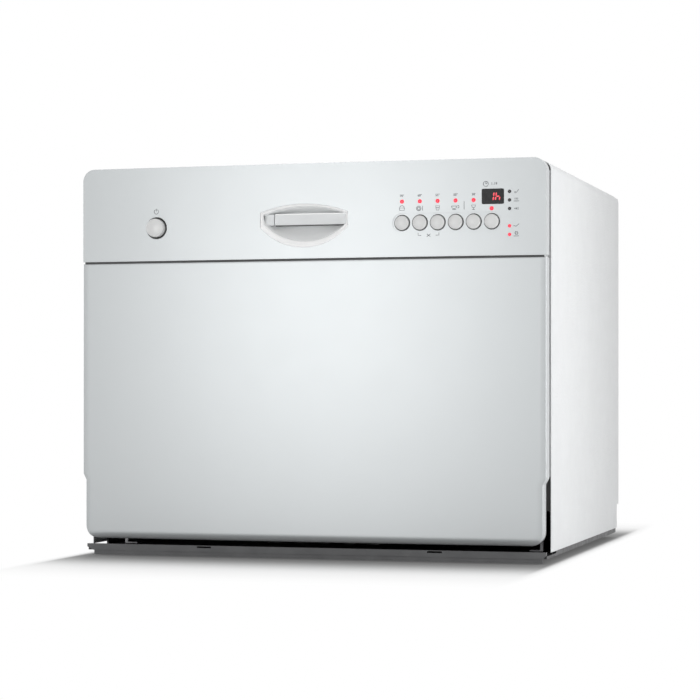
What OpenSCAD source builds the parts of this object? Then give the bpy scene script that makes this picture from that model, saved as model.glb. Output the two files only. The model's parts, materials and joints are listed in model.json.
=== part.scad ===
// Countertop dishwasher with a drop-down door and a pull-out rack.
// X runs to the right seen from the front, Z is up. Inside the modules Y is the depth behind
// the flat of the door's front, and place() moves it to the middle of the machine.

/* [Cabinet] */
// Width of the door's front
front_w = 545; // [500:1:600]
// Height over everything
front_h = 447; // [430:1:480]
// Depth of the back cover's flat behind the door's front
back_d = 508; // [500:1:540]
// How far the back cover's foot bulges behind its flat
back_bulge = 7; // [3:0.5:9]
// Depth of the wrap's front edge behind the door's front
wrap_d = 29.5; // [28:0.5:31]
// Sheet steel of the wrap
wrap_t = 1.2; // [0.8:0.1:1.6]
// Radius of the wrap's top edges
wrap_r = 11; // [6:0.5:16]
// Height of the feet
foot_h = 6; // [4:0.5:6]
// Radius of a foot
foot_r = 16; // [12:1:20]
// Depth of the recess for the hose connections
recess_depth = 22; // [16:1:26]
// Height of the recess for the hose connections
recess_z = 42.5; // [40:0.5:46]

/* [Door] */
// How far the front bows out in the middle
crown = 5; // [3:0.5:6]
// Depth of the door's side flanges
flange_d = 17; // [16:0.5:17.5]
// Thickness of the control fascia
fascia_t = 3; // [2.5:0.5:4]
// Thickness of the door's steel skin
skin_t = 1.2; // [0.8:0.1:1.6]
// Height of the seam between skin and fascia
seam_z = 338.8; // [330:0.2:345]
// Width of the seam
seam_gap = 2.4; // [1.6:0.2:3]
// Height of the door's lower edge
door_z = 20.4; // [19:0.2:22]
// Radius of the fascia's top corners
fascia_r = 14; // [8:1:18]
// Radius of the door's lower corners
door_r = 15; // [10:1:18]
// Rounding of the door's lower front edge
door_edge_r = 8; // [7:0.5:9]
// How much narrower each side of the door's foot is
step_in = 3.5; // [3:0.1:4.5]
// Height where the narrow foot of the door starts
step_z = 88; // [80:1:96]
// Thickness of the liner's rim
rim_t = 9; // [7:0.5:9]
// How far the liner's pan stands into the tub, from the door's front
pan_d = 50; // [44:1:52]
// Sheet of the liner
liner_t = 1; // [0.8:0.1:1.4]

/* [Hinge] */
// Depth of the door's pivot
hinge_d = 22; // [21:0.5:23]
// Height of the door's pivot
hinge_z = 52; // [50:0.5:54]
// Radius of the hinge pins
pin_r = 3; // [2.5:0.25:4]
// Radial clearance of a turning fit
run_gap = 0.08; // [0.04:0.01:0.1]
// Thickness of the hinge plates
hinge_t = 4; // [3:0.5:4]

/* [Tub] */
// Inner width of the tub
tub_w = 472; // [440:2:480]
// Height of the tub's inner top
tub_top_z = 426; // [420:1:428]
// Height of the tub's floor
basin_z = 66; // [64:0.5:68]
// Height of the ledges that the rack's wheels run on
ledge_z = 80; // [78:0.5:81]
// Depth of the tub's back wall
tub_back_d = 455; // [440:1:460]
// Sheet of the tub
tub_t = 1; // [0.6:0.1:1.2]
// Width of each wheel ledge
ledge_w = 46; // [40:1:50]

/* [Controls] */
// Place of the power button from the middle
power_x = -180.7; // [-200:0.1:-160]
// Height of the button row
button_z = 377.6; // [374:0.1:380]
// Radius of the power button
power_r = 10.5; // [9:0.5:12]
// Place of the first programme button
button_x = 110.6; // [100:0.1:120]
// Distance between programme buttons
button_pitch = 20.25; // [19:0.05:21]
// Radius of a programme button
button_r = 8; // [7:0.25:8.5]
// Gap around a button
button_gap = 0.6; // [0.4:0.1:0.9]
// Height of the row of lamps
lamp_z = 401.3; // [399:0.1:404]
// Radius of a lamp
lamp_r = 2.3; // [1.8:0.1:2.6]
// Middle of the display
display_x = 213.2; // [205:0.1:216]
// Height of the display's middle
display_z = 405; // [403:0.5:408]
// Width of the display
display_w = 25; // [20:0.5:27]
// Height of the display
display_h = 17; // [12:0.5:18]
// Place of the column of status lamps
status_x = 231.8; // [231:0.1:236]
// Middle of the handle recess
handle_x = -3.5; // [-20:0.5:20]
// Width of the handle recess
handle_w = 103; // [90:1:120]
// Height of the handle recess
handle_h = 49; // [44:1:52]
// Depth of the handle recess
handle_d = 27; // [22:1:30]

/* [Rack] */
// Width of the rack
rack_w = 424; // [400:2:430]
// Depth of the rack's upper front
rack_d = 70; // [69:0.5:80]
// Length of the rack
rack_l = 366; // [340:1:372]
// Height of the rack's floor
rack_z = 106; // [105:0.5:112]
// Height of the rack's rim
rim_z = 236; // [200:1:250]
// Radius of the rack's heavy wires
rim_wire_r = 2.2; // [1.8:0.1:2.6]
// Radius of the rack's light wires
wire_r = 1.5; // [1.2:0.1:1.8]
// Distance between the light wires
wire_pitch = 26; // [22:0.5:34]
// Radius of a rack wheel
wheel_r = 13; // [11:0.5:13]
// Width of a rack wheel
wheel_w = 9; // [6:0.5:10]
// Width of the cutlery basket
basket_w = 76; // [60:1:90]
// Length of the cutlery basket
basket_l = 150; // [120:1:180]
// Height of the cutlery basket
basket_h = 112; // [90:1:120]

/* [Washing] */
// Reach of the spray arm
arm_r = 182; // [150:1:184]
// Width of the spray arm
arm_w = 34; // [26:1:44]
// Height of the spray arm's underside
arm_z = 84; // [83:0.5:86]
// Thickness of the spray arm
arm_t = 9; // [7:0.5:9]
// Depth of the spray arm's axis
arm_d = 245; // [240:1:255]
// Place of the filter from the middle
filter_x = -88; // [-100:1:-80]
// Radius of the cylinder filter
filter_r = 30; // [24:1:32]
// Place of the salt container's cap
salt_x = -150; // [-160:1:-140]
// Depth of the salt container's cap
salt_d = 372; // [362:1:384]
// Radius of the salt container's cap
salt_r = 22; // [18:1:24]
// Radius of the heating ring
heater_r = 160; // [150:1:164]
// Radius of the water inlet's spigot
inlet_r = 13.2; // [9:0.1:14]
// Radius of the drain spigot
drain_r = 9.5; // [8:0.1:11]

/* [Hidden] */
$fn = 64;
round_fn = 96;
bow_fn = 1440;
drop_fn = 768;
prism_fn = 8;
flat = cos(180 / prism_fn);
cut = 1;
seat = 0.3;
slide_gap = 0.5;

half_w = front_w / 2;
mid_d = (back_d + back_bulge - crown) / 2;
bow_r = half_w * half_w / (2 * crown) + crown / 2;
foot_half = half_w - step_in;
step_h = 7;

wrap_top = front_h - 1;
wrap_foot = foot_h + 6;
wrap_end = back_d - 8;
wrap_in = half_w - wrap_t;
swing_z = 96;
drop_r = 280;
drop_d = wrap_end - 38;
drop_lead = 8;
drop_z = wrap_top - sqrt(drop_r * drop_r - drop_lead * drop_lead);
base_t = 3;
base_top = foot_h + base_t;
base_half = wrap_in - 0.5;
base_front = 8;
base_back = back_d - recess_depth;
wall_t = 2;

fascia_z = seam_z + seam_gap / 2;
skin_top = seam_z - seam_gap / 2;
rim_d = flange_d;
rim_back = rim_d + rim_t;
rim_half = half_w - 8.5;
rim_low = door_z + 5.6;
rim_top = front_h - 7;
pan_half = tub_w / 2 - 14;
pan_low = ledge_z + 8;
pan_top = tub_top_z - 11;
pan_r = 16;
notch_x = 238;
notch_z = 82;

hinge_x = 246;
arm_x0 = hinge_x - hinge_t / 2;
bracket_x0 = arm_x0 + hinge_t + 1.4;
eye_r = pin_r + 5;

tub_half = tub_w / 2;
frame_d = wrap_d + 4.5;
frame_t = 2;
mouth_half = tub_half - 4;
mouth_top = tub_top_z - 4;
mouth_low = ledge_z;
mouth_r = 8;
gasket_w = 5;
basin_half = tub_half - ledge_w;
basin_front = 74;
basin_back = tub_back_d - 16;
tub_front = frame_d + frame_t;
clear_d = 68;

power_h = 9;
button_h = 6.5;
button_hole = button_r + button_gap;
power_hole = power_r + 2.2;
groove_r = button_r + 2.8;
groove_t = 0.7;
window_t = 1.6;
fascia_in = fascia_t - crown;
slab_t = flange_d + 2 * crown;
board_t = 2;
display_low = display_z - display_h / 2;

handle_top = 401.5;
handle_low = handle_top - handle_h;
handle_side = 375.5;
bow_low = handle_side - handle_low;
bow_low_r = (pow(handle_w / 2, 2) + bow_low * bow_low) / (2 * bow_low);
bow_high = 9.5;
bow_high_r = (pow(handle_w / 2, 2) + bow_high * bow_high) / (2 * bow_high);
pocket_t = 1.8;
flap_x0 = handle_x - handle_w / 2 + 14;
flap_x1 = handle_x + handle_w / 2 - 1;
flap_top = 392;
flap_h = 13.5;
flap_d = 5;
flap_t = 4;
flap_pin_r = 1.5;
cheek_t = 2;

latch_z = tub_top_z + 5.5;
latch_h = 4;
latch_half = 5;
latch_pin_r = 1.5;
latch_pivot_d = 8;
latch_end = frame_d + frame_t + 4;
latch_slot_z = latch_z - 1.5;
latch_slot_top = latch_z + 11;
latch_slot_half = latch_half + 1.5;

rack_half = rack_w / 2;
rack_back = rack_d + rack_l;
rack_set_z = rack_z + 46;
rack_set_d = rack_d + 30;
axle_z = ledge_z + seat + wheel_r;
axle_r = 2.5;
axle_d = [170, 400];
wheel_x = rack_half + 6.5;
rail_z = axle_z + wheel_r + 2;
tine_r = 1.8;
floor_count = floor((rack_w - 40) / wire_pitch);
side_count = floor((rack_l - 40) / wire_pitch);

basket_x = rack_half - basket_w / 2 - 14;
basket_d = 230;
basket_z = rack_z + flat * wire_r + seat;
basket_t = 1.8;
shelf_z = 262;
shelf_x = -rack_half + 4;
shelf_w = 92;
shelf_l = 300;
shelf_d = 252;
shelf_rod = shelf_x + 8;
shelf_eye_r = 5.5;

hub_r = 24;
post_r = 9;
sump_r = filter_r + 10;
sump_low = base_top + 8;
mesh_t = 1.6;
mesh_top = basin_z + 5;
heat_r = 3.2;
heat_z = basin_z + 8;
spigot_z = 25;
inlet_x = 165;
drain_x = 110;
gland_x = -170;
inlet_l = 12;
drain_l = 20;
spigot_wall = 1.8;
spigot_step = 0.5;
spigot_seat = base_back + 1;
pump_r = 25;
pump_x = 230;
pump_z = base_top + pump_r + 5;

module place() {
  translate([0, -mid_d, 0]) children();
}

// A drawing in X and Z, pushed through from depth d0 to depth d1
module along_y(d0, d1) {
  translate([0, d1, 0]) rotate([90, 0, 0]) linear_extrude(d1 - d0) children();
}

// A drawing in depth and Z, pushed through from x0 to x1
module along_x(x0, x1) {
  translate([x0, 0, 0]) rotate([90, 0, 90]) linear_extrude(x1 - x0) children();
}

module box(x0, y0, z0, x1, y1, z1) {
  translate([x0, y0, z0]) cube([x1 - x0, y1 - y0, z1 - z0]);
}

module both_sides() {
  children();
  mirror([1, 0, 0]) children();
}

// A rectangle with its four corners rounded
module rounded(x0, y0, x1, y1, r) {
  translate([x0 + r, y0]) square([x1 - x0 - 2 * r, y1 - y0]);
  translate([x0, y0 + r]) square([x1 - x0, y1 - y0 - 2 * r]);
  for (x = [x0 + r, x1 - r], y = [y0 + r, y1 - r]) translate([x, y]) circle(r);
}

module rounded_box(x0, y0, z0, x1, y1, z1, r) {
  translate([0, 0, z0]) linear_extrude(z1 - z0) rounded(x0, y0, x1, y1, r);
}

module rod_x(x0, x1, d, z, r) {
  translate([x0, d, z]) rotate([0, 90, 0]) cylinder(h = x1 - x0, r = r);
}

module rod_y(x, d0, d1, z, r) {
  translate([x, d1, z]) rotate([90, 0, 0]) cylinder(h = d1 - d0, r = r);
}

// The bowed slab that the front's outline is cut from, from depth t to its inner side
module bowed(t, z0, z1, edge) {
  translate([0, bow_r - crown, 0]) rotate_extrude($fn = bow_fn) {
    translate([bow_r - slab_t, z0]) square([slab_t - t - edge, z1 - z0]);
    translate([bow_r - t - edge - cut, z0 + edge]) square([edge + cut, z1 - z0 - edge]);
    if (edge > 0) translate([bow_r - t - edge, z0 + edge]) circle(edge, $fn = 32);
  }
}

// The outline of the door below the seam, drawn smaller by i
module skin_outline(i) {
  polygon([[-half_w + i, step_z + step_h], [-half_w + i, skin_top - i],
    [half_w - i, skin_top - i], [half_w - i, step_z + step_h], [foot_half - i, step_z],
    [foot_half - i, door_z + door_r], [foot_half - door_r, door_z + i],
    [-foot_half + door_r, door_z + i], [-foot_half + i, door_z + door_r],
    [-foot_half + i, step_z]]);
  for (x = [-1, 1] * (foot_half - door_r)) translate([x, door_z + door_r]) circle(door_r - i);
}

// The outline of the fascia, drawn smaller by i
module fascia_outline(i) {
  translate([-half_w + i, fascia_z]) square([front_w - 2 * i, front_h - fascia_z - fascia_r]);
  rounded(-half_w + i, fascia_z + i, half_w - i, front_h - i, fascia_r - i);
}

module handle_outline(i) {
  translate([handle_x, 0]) intersection() {
    translate([-handle_w / 2 - i, handle_low - i])
      square([handle_w + 2 * i, handle_h + 2 * i]);
    translate([0, handle_low + bow_low_r]) circle(bow_low_r + i, $fn = round_fn);
    translate([0, handle_top - bow_high_r]) circle(bow_high_r + i, $fn = round_fn * 2);
  }
}

module door_skin() place() color("whitesmoke") {
  difference() {
    intersection() {
      bowed(0, door_z, skin_top, door_edge_r);
      along_y(-crown - cut, flange_d) skin_outline(0);
    }
    intersection() {
      bowed(skin_t, door_z + skin_t, skin_top + cut, door_edge_r - skin_t);
      along_y(-crown - cut, flange_d + cut) skin_outline(skin_t);
    }
    box(-foot_half - cut, flange_d - 3, door_z - cut, foot_half + cut, flange_d + cut,
      rim_low - 1);
  }
  both_sides() box(rim_half - 2, flange_d - skin_t, step_z + step_h, half_w - skin_t / 2,
    flange_d, skin_top);
}

module control_fascia() place() color("whitesmoke") {
  intersection() {
    bowed(1.5, skin_top + 0.2, fascia_z + cut, 0);
    along_y(-crown - cut, flange_d) translate([-half_w + 1.5, 0])
      square([front_w - 3, front_h]);
  }
  difference() {
    intersection() {
      bowed(0, fascia_z, front_h, 0);
      along_y(-crown - cut, flange_d) fascia_outline(0);
    }
    intersection() {
      bowed(fascia_t, fascia_z + fascia_t, front_h, 0);
      along_y(-crown - cut, flange_d + cut) fascia_outline(fascia_t);
    }
    along_y(-crown - cut, flange_d) handle_outline(0);
    rod_y(power_x, -crown - cut, flange_d - cut, button_z, power_hole);
    for (i = [0:5]) rod_y(button_x + i * button_pitch, -crown - cut, 6, button_z, button_hole);
    intersection() {
      bowed(-cut, fascia_z, front_h, 0);
      along_y(-crown - cut, flange_d) rounded(button_x - groove_r, button_z - groove_r,
        button_x + 5 * button_pitch + groove_r, button_z + groove_r, groove_r - 0.01);
      translate([0, bow_r - crown, 0]) difference() {
        cylinder(h = front_h, r = bow_r + cut, $fn = bow_fn);
        cylinder(h = front_h, r = bow_r - groove_t, $fn = bow_fn);
      }
    }
    along_y(-crown - cut, 6) rounded(display_x - display_w / 2, display_low,
      display_x + display_w / 2, display_low + display_h, 1.5);
    lamp_places() rod_y(0, -crown - cut, 6, 0, lamp_r + 0.05);
    status_places() rod_y(0, -crown - cut, 6, 0, lamp_r - 0.35);
  }
}

module lamp_places() {
  for (i = [0:4]) translate([button_x + i * button_pitch, 0, lamp_z]) children();
  translate([button_x + 5 * button_pitch, 0, lamp_z - 9.4]) children();
}

module status_places() {
  for (z = [410, 400.6, 391.2, 372.2, 362.8]) translate([status_x, 0, z]) children();
}

// Depth of the fascia's face at x
function face_d(x) = -crown + bow_r - sqrt(bow_r * bow_r - x * x);

module program_lamps() place() color("red") {
  for (i = [0:5]) {
    x = button_x + i * button_pitch;
    z = i < 5 ? lamp_z : lamp_z - 9.4;
    rod_y(x, face_d(x) - 0.1, face_d(x) + fascia_t + 1.5, z, lamp_r);
    rod_y(x, face_d(x) + fascia_t + 0.4, board_d(), z, lamp_r + 0.7);
  }
}

module status_lamps() place() color("dimgray") {
  status_places() {
    rod_y(0, face_d(status_x) - 0.1, face_d(status_x) + fascia_t + 1.5, 0, lamp_r - 0.4);
    rod_y(0, face_d(status_x) + fascia_t + 0.4, board_d(), 0, lamp_r);
  }
}

function board_d() = 9;

module display_window() place() color("black") {
  along_y(face_d(display_x) + 0.2, face_d(display_x) + 0.2 + window_t)
    rounded(display_x - display_w / 2 + 0.1, display_low + 0.1,
      display_x + display_w / 2 - 0.1, display_low + display_h - 0.1, 1.4);
}

module display_module() place() color("darkslategray") {
  box(display_x - display_w / 2 + 1, face_d(display_x) + 0.2 + window_t, display_low + 1,
    display_x + display_w / 2 - 1, board_d(), display_low + display_h - 1);
}

module control_board() place() color("seagreen") {
  difference() {
    box(button_x - 16, board_d(), 356, status_x + 12, board_d() + board_t, 424);
    for (x = [button_x - 12, status_x + 8.5], z = [360, 420])
      rod_y(x, board_d() - cut, board_d() + board_t + cut, z, 1.6);
  }
  for (i = [0:5]) {
    x = button_x + i * button_pitch;
    box(x - 3, board_d() - 1.6, button_z - 3, x + 3, board_d(), button_z + 3);
  }
  box(button_x + 8, board_d() + board_t, 362, button_x + 40, board_d() + board_t + 4, 384);
  box(button_x + 60, board_d() + board_t, 366, button_x + 78, board_d() + board_t + 3, 380);
}

// The tray that holds the board and guides the stems of the buttons
module switch_carrier() place() color("gainsboro") {
  difference() {
    box(button_x - 20, board_d() + board_t + 4.5, 352, half_w - fascia_t - 0.4, rim_d, 426);
    box(button_x - 18, board_d() + board_t + 4, 354, half_w - fascia_t - 2.4, rim_d - 1, 424);
  }
  for (x = [button_x - 12, status_x + 8.5], z = [360, 420]) {
    rod_y(x, board_d() + board_t, rim_d - 0.5, z, 3);
    rod_y(x, board_d() - 1, board_d() + board_t + 1, z, 1.5);
    rod_y(x, face_d(x) + fascia_t + 0.1, board_d(), z, 3);
  }
  difference() {
    rod_y(power_x, face_d(power_x - power_hole - 3) + fascia_t + 0.1, rim_d - 1, button_z,
      power_hole + 3);
    rod_y(power_x, -crown, rim_d - 3, button_z, power_r + 0.6);
  }
}

// A round cap with a domed face and a stem behind it
module button_cap(x, r, out, back) {
  intersection() {
    rod_y(x, face_d(x) - out, back, button_z, r);
    translate([x, face_d(x) - out + r * 3.2, button_z]) sphere(r * 3.2, $fn = round_fn);
  }
}

module power_button() place() color("white") {
  button_cap(power_x, power_r, power_h, 9);
}

module program_button(i) place() color("white") {
  x = button_x + (i - 1) * button_pitch;
  button_cap(x, button_r, button_h - 3, 1.6);
  rod_y(x, 1.5, board_d() - 1.6 - 2.2, button_z, 2);
}

module program_button_1() program_button(1);
module program_button_2() program_button(2);
module program_button_3() program_button(3);
module program_button_4() program_button(4);
module program_button_5() program_button(5);
module program_button_6() program_button(6);

// The moulded scoop behind the fascia, with the cheek that carries the grip
module handle_pocket() place() color("whitesmoke") {
  difference() {
    along_y(fascia_in + 0.5, handle_d + pocket_t) handle_outline(pocket_t);
    along_y(-crown, handle_d) handle_outline(0);
    rod_x(flap_x1 - cut, flap_x1 + 2.4, flap_d + flap_t / 2, flap_top - 3,
      flap_pin_r + run_gap);
  }
  difference() {
    intersection() {
      box(flap_x0 - 0.6 - cheek_t, flap_d - 1, flap_top - 12, flap_x0 - 0.6, handle_d + 0.5,
        handle_top);
      along_y(-crown, handle_d + cut) handle_outline(0.5);
    }
    rod_x(flap_x0 - 4, flap_x0, flap_d + flap_t / 2, flap_top - 3, flap_pin_r + run_gap);
  }
}

module handle_flap() place() color("white") {
  rod_x(flap_x0 - 2.2, flap_x1 + 2, flap_d + flap_t / 2, flap_top - 3, flap_pin_r);
  difference() {
    box(flap_x0, flap_d, flap_top - flap_h, flap_x1, flap_d + flap_t, flap_top - 1);
    translate([0, flap_d + flap_t + 14, flap_top - flap_h + 4])
      rotate([0, 90, 0]) translate([0, 0, flap_x0 + 6])
        cylinder(h = flap_x1 - flap_x0 - 12, r = 15.5);
  }
}

// The inner door: a rim, and a pan that stands into the tub's mouth
module door_liner() place() color("silver") {
  difference() {
    union() {
      along_y(rim_d, rim_back) rounded(-rim_half, rim_low, rim_half, rim_top, 12);
      along_y(rim_back - cut, pan_d) rounded(-pan_half, pan_low, pan_half, pan_top, pan_r);
    }
    along_y(rim_d - cut, pan_d - liner_t) rounded(-pan_half + liner_t, pan_low + liner_t,
      pan_half - liner_t, pan_top - liner_t, pan_r - liner_t);
    both_sides() box(notch_x, rim_d - cut, 0, half_w, rim_back + cut, notch_z);
    box(-latch_slot_half, rim_d - cut, latch_slot_z, latch_slot_half, rim_back + cut,
      rim_top + cut);
    along_y(pan_d - liner_t - cut, pan_d + cut)
      rounded(dispenser_x0(), dispenser_z0(), dispenser_x1(), dispenser_z1(), 6);
    along_y(rim_d - cut, rim_back - liner_t) difference() {
      rounded(-rim_half + liner_t, rim_low + liner_t, rim_half - liner_t,
        rim_top - 6, 11);
      both_sides() translate([notch_x - liner_t, 0]) square([40, notch_z + liner_t]);
      rounded(-pan_half - 3, pan_low - 3, pan_half + 3, pan_top + 3, pan_r + 3);
    }
  }
  latch_ears();
}

// Two ears and a pin that carry the latch
module latch_ears() {
  both_sides() box(latch_half + 0.4, latch_pivot_d - 5, latch_z - 3, latch_half + 3.4,
    rim_back, latch_z + latch_h + 4);
  rod_x(-latch_half - 2, latch_half + 2, latch_pivot_d, latch_z + latch_h / 2, latch_pin_r);
}

function dispenser_x0() = -62;
function dispenser_x1() = 78;
function dispenser_z0() = 214;
function dispenser_z1() = 300;

// Detergent hollow on the left, sliding lid, and the rinse aid filler on the right
module dispenser_body() place() color("lightgray") {
  difference() {
    union() {
      along_y(pan_d - 26, pan_d) rounded(dispenser_x0() + seat, dispenser_z0() + seat,
        dispenser_x1() - seat, dispenser_z1() - seat, 6 - seat);
      along_y(pan_d, pan_d + 1.6) rounded(dispenser_x0() - 4, dispenser_z0() - 4,
        dispenser_x1() + 4, dispenser_z1() + 4, 9);
    }
    along_y(pan_d - 23, pan_d + 3) rounded(dispenser_x0() + 8, dispenser_z0() + 12,
      dispenser_x0() + 56, dispenser_z1() - 12, 8);
    rod_y(rinse_x(), pan_d - 8, pan_d + 3, rinse_z(), 15 + run_gap);
  }
  for (z = [dispenser_z0() + 6.5, dispenser_z1() - 10.5])
    box(dispenser_x0() + 4, pan_d + 1.6, z, dispenser_x1() - 32, pan_d + 3.2, z + 4);
}

function rinse_x() = dispenser_x1() - 20;
function rinse_z() = (dispenser_z0() + dispenser_z1()) / 2 + 8;

module dispenser_lid() place() color("gray") {
  z0 = dispenser_z0() + 10.5 + slide_gap;
  z1 = dispenser_z1() - 10.5 - slide_gap;
  difference() {
    along_y(pan_d + 1.6 + seat, pan_d + 4.4)
      rounded(dispenser_x0() + 4, z0, dispenser_x0() + 60, z1, 4);
    for (i = [0:4]) box(dispenser_x0() + 12 + i * 5, pan_d + 3.6, z0 + 8,
      dispenser_x0() + 14 + i * 5, pan_d + 5, z1 - 8);
  }
}

module rinse_cap() place() color("royalblue") {
  rod_y(rinse_x(), pan_d - 7, pan_d + 1.5, rinse_z(), 15);
  rod_y(rinse_x(), pan_d + 1.4, pan_d + 3, rinse_z(), 14);
  box(rinse_x() - 12, pan_d + 2, rinse_z() - 2, rinse_x() + 12, pan_d + 5.5, rinse_z() + 2);
}

// The door's pivot plates, bolted to the inside of its side flanges
module hinge_arms() place() color("darkgray") {
  both_sides() {
    difference() {
      along_x(arm_x0, arm_x0 + hinge_t) {
        translate([hinge_d, hinge_z]) circle(eye_r);
        translate([hinge_d - eye_r, hinge_z]) square([2 * eye_r - 4, 44]);
        translate([5, hinge_z + 24]) square([rim_d - 5, 70]);
      }
      rod_x(arm_x0 - cut, arm_x0 + hinge_t + cut, hinge_d, hinge_z, pin_r + run_gap);
      box(arm_x0 - cut, rim_d, notch_z, arm_x0 + hinge_t + cut, rim_back + 9, 200);
    }
    box(arm_x0 - 8, rim_d - 3, notch_z + 4, arm_x0 + hinge_t + 8, rim_d, notch_z + 60);
  }
}

module hinge_brackets() place() color("darkgray") {
  both_sides() {
    along_x(bracket_x0, bracket_x0 + hinge_t) {
      translate([hinge_d, hinge_z]) circle(eye_r);
      translate([hinge_d, hinge_z - eye_r]) square([100, 2 * eye_r]);
      translate([hinge_d + 60, base_top]) square([40, hinge_z - base_top]);
    }
    rod_x(arm_x0 - 2, bracket_x0 + cut, hinge_d, hinge_z, pin_r);
    rod_x(arm_x0 - 4, arm_x0 - 0.6, hinge_d, hinge_z, pin_r + 1.8);
    box(bracket_x0 - 12, hinge_d + 60, base_top, bracket_x0 + hinge_t, hinge_d + 100,
      base_top + 2);
    box(bracket_x0, hinge_d + 30, hinge_z + eye_r - 2, bracket_x0 + hinge_t, hinge_d + 100,
      hinge_z + 44);
  }
}

module latch_hook() place() color("dimgray") {
  difference() {
    union() {
      box(-latch_half, latch_pivot_d, latch_z, latch_half, latch_end, latch_z + latch_h);
      rod_x(-latch_half, latch_half, latch_pivot_d, latch_z + latch_h / 2, 4);
      box(-latch_half, latch_end - 2.5, latch_z - 1, latch_half, latch_end, latch_z + 1);
    }
    rod_x(-latch_half - cut, latch_half + cut, latch_pivot_d, latch_z + latch_h / 2,
      latch_pin_r + run_gap);
  }
}

// Steel keeper for the latch, on the tub's front frame
module door_strike() place() color("darkgray") {
  difference() {
    along_y(frame_d - 1.5, frame_d) rounded(-26, latch_slot_z - 0.5, 26,
      latch_slot_top + 1, 2);
    box(-latch_slot_half, frame_d - 3, latch_slot_z, latch_slot_half, frame_d + cut,
      latch_slot_top - 0.5);
  }
}

// What the falling rear end of the top takes away, drawn lower by i
module drop_cut(i) {
  difference() {
    box(-front_w, drop_d - drop_lead / 2, wrap_top - 60, front_w, back_d + drop_d,
      front_h + cut);
    rod_x(-front_w - cut, front_w + cut, drop_d - drop_lead, drop_z, drop_r - i,
      $fn = drop_fn);
  }
}

module wrap_outline(i) {
  translate([-half_w + i, wrap_foot - cut * i])
    square([front_w - 2 * i, wrap_top - wrap_foot - wrap_r + cut * i]);
  rounded(-half_w + i, wrap_top - 60, half_w - i, wrap_top - i, wrap_r - i);
}

module cabinet_wrap() place() color("white") {
  difference() {
    along_y(wrap_d, wrap_end) wrap_outline(0);
    drop_cut(0);
    difference() {
      along_y(wrap_d - cut, wrap_end + cut) wrap_outline(wrap_t);
      drop_cut(wrap_t);
    }
    box(-half_w - cut, base_back, 0, half_w + cut, wrap_end + cut, recess_z);
  }
  both_sides() difference() {
    along_y(wrap_d, wrap_d + wrap_t) {
      translate([wrap_in - 14, swing_z])
        square([14 + wrap_t / 2, wrap_top - wrap_r - swing_z]);
    }
    box(0, 0, 0, foot_half, front_h, swing_z);
  }
}

// The moulded back, with its bulged foot and the floor of the hose recess
module rear_cover() place() color("whitesmoke") {
  cover_top = wrap_top - 4;
  bulge_low = recess_z + 1;
  bulge_top = 112;
  side = half_w - 1.5;
  difference() {
    union() {
      along_x(-side, side) {
        translate([wrap_end, recess_z]) square([back_d - wrap_end, cover_top - recess_z - 8]);
        intersection() {
          translate([wrap_end, cover_top - 8]) circle(8);
          translate([wrap_end, cover_top - 9]) square([8, 9]);
        }
      }
      along_x(-side + 1, side - 1) polygon([[back_d - cut, bulge_low],
        [back_d + back_bulge, bulge_low + 4], [back_d + back_bulge, bulge_top - 14],
        [back_d - cut, bulge_top]]);
      box(-side, base_back, recess_z, side, wrap_end, recess_z + wall_t);
    }
    along_x(-side + wall_t, side - wall_t) {
      translate([wrap_end - cut, recess_z + wall_t])
        square([back_d - wrap_end - wall_t + cut, cover_top - recess_z - 2 * wall_t - 6]);
    }
    along_x(-side + 3, side - 3) polygon([[back_d - 3, bulge_low + 3],
      [back_d + back_bulge - wall_t, bulge_low + 7],
      [back_d + back_bulge - wall_t, bulge_top - 16], [back_d - 3, bulge_top - 3]]);
    for (i = [0:7]) box(-112 + i * 30, back_d - 4, 150, -98 + i * 30, back_d + cut, 156);
    for (i = [0:7]) box(-112 + i * 30, back_d - 4, 164, -98 + i * 30, back_d + cut, 170);
  }
}

module base_tray() place() color("gray") {
  difference() {
    box(-base_half, base_front + 4, foot_h, base_half, base_back, recess_z - seat);
    box(-base_half + wall_t, -cut, base_top, base_half - wall_t, base_back - 3, front_h);
    box(-base_half - cut, -cut, base_top, base_half + cut, clear_d, front_h);
    rod_y(inlet_x, base_back - 5, base_back + cut, spigot_z, inlet_r + 2);
    rod_y(drain_x, base_back - 5, base_back + cut, spigot_z, drain_r + 2);
    rod_y(gland_x, base_back - 5, base_back + cut, spigot_z, 8 + seat);
    for (x = [-90:30:30]) rounded_box(x, 140, foot_h - cut, x + 12, 200, base_top + cut, 3);
  }
}

module plinth() place() color("gray") {
  difference() {
    along_y(base_front, base_front + 4) polygon([[-base_half + 8, foot_h],
      [base_half - 4, foot_h], [base_half, foot_h + 4], [base_half, foot_h + 7.5],
      [-base_half, foot_h + 7.5], [-base_half, foot_h + 4]]);
    for (x = [-127, 144.7]) box(x - 8.5, base_front - cut, foot_h + 4.6, x + 8.5,
      base_front + 5, foot_h + 6.6);
  }
}

module feet() place() color("dimgray") {
  for (x = [-1, 1] * (base_half - 34), y = [52, base_back - 40]) translate([x, y, 0]) {
    cylinder(h = foot_h - 2, r = foot_r);
    cylinder(h = foot_h, r = foot_r - 4);
  }
}

// Top and sides of the tub, one bent sheet
module tub_wrap() place() color("silver") {
  difference() {
    along_y(tub_front, tub_back_d) rounded(-tub_half - tub_t, ledge_z - 30,
      tub_half + tub_t, tub_top_z + tub_t, 18 + tub_t);
    along_y(tub_front - cut, tub_back_d + cut) rounded(-tub_half, ledge_z - 32,
      tub_half, tub_top_z, 18);
    box(-half_w, 0, 0, half_w, back_d, ledge_z - tub_t);
  }
}

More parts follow.
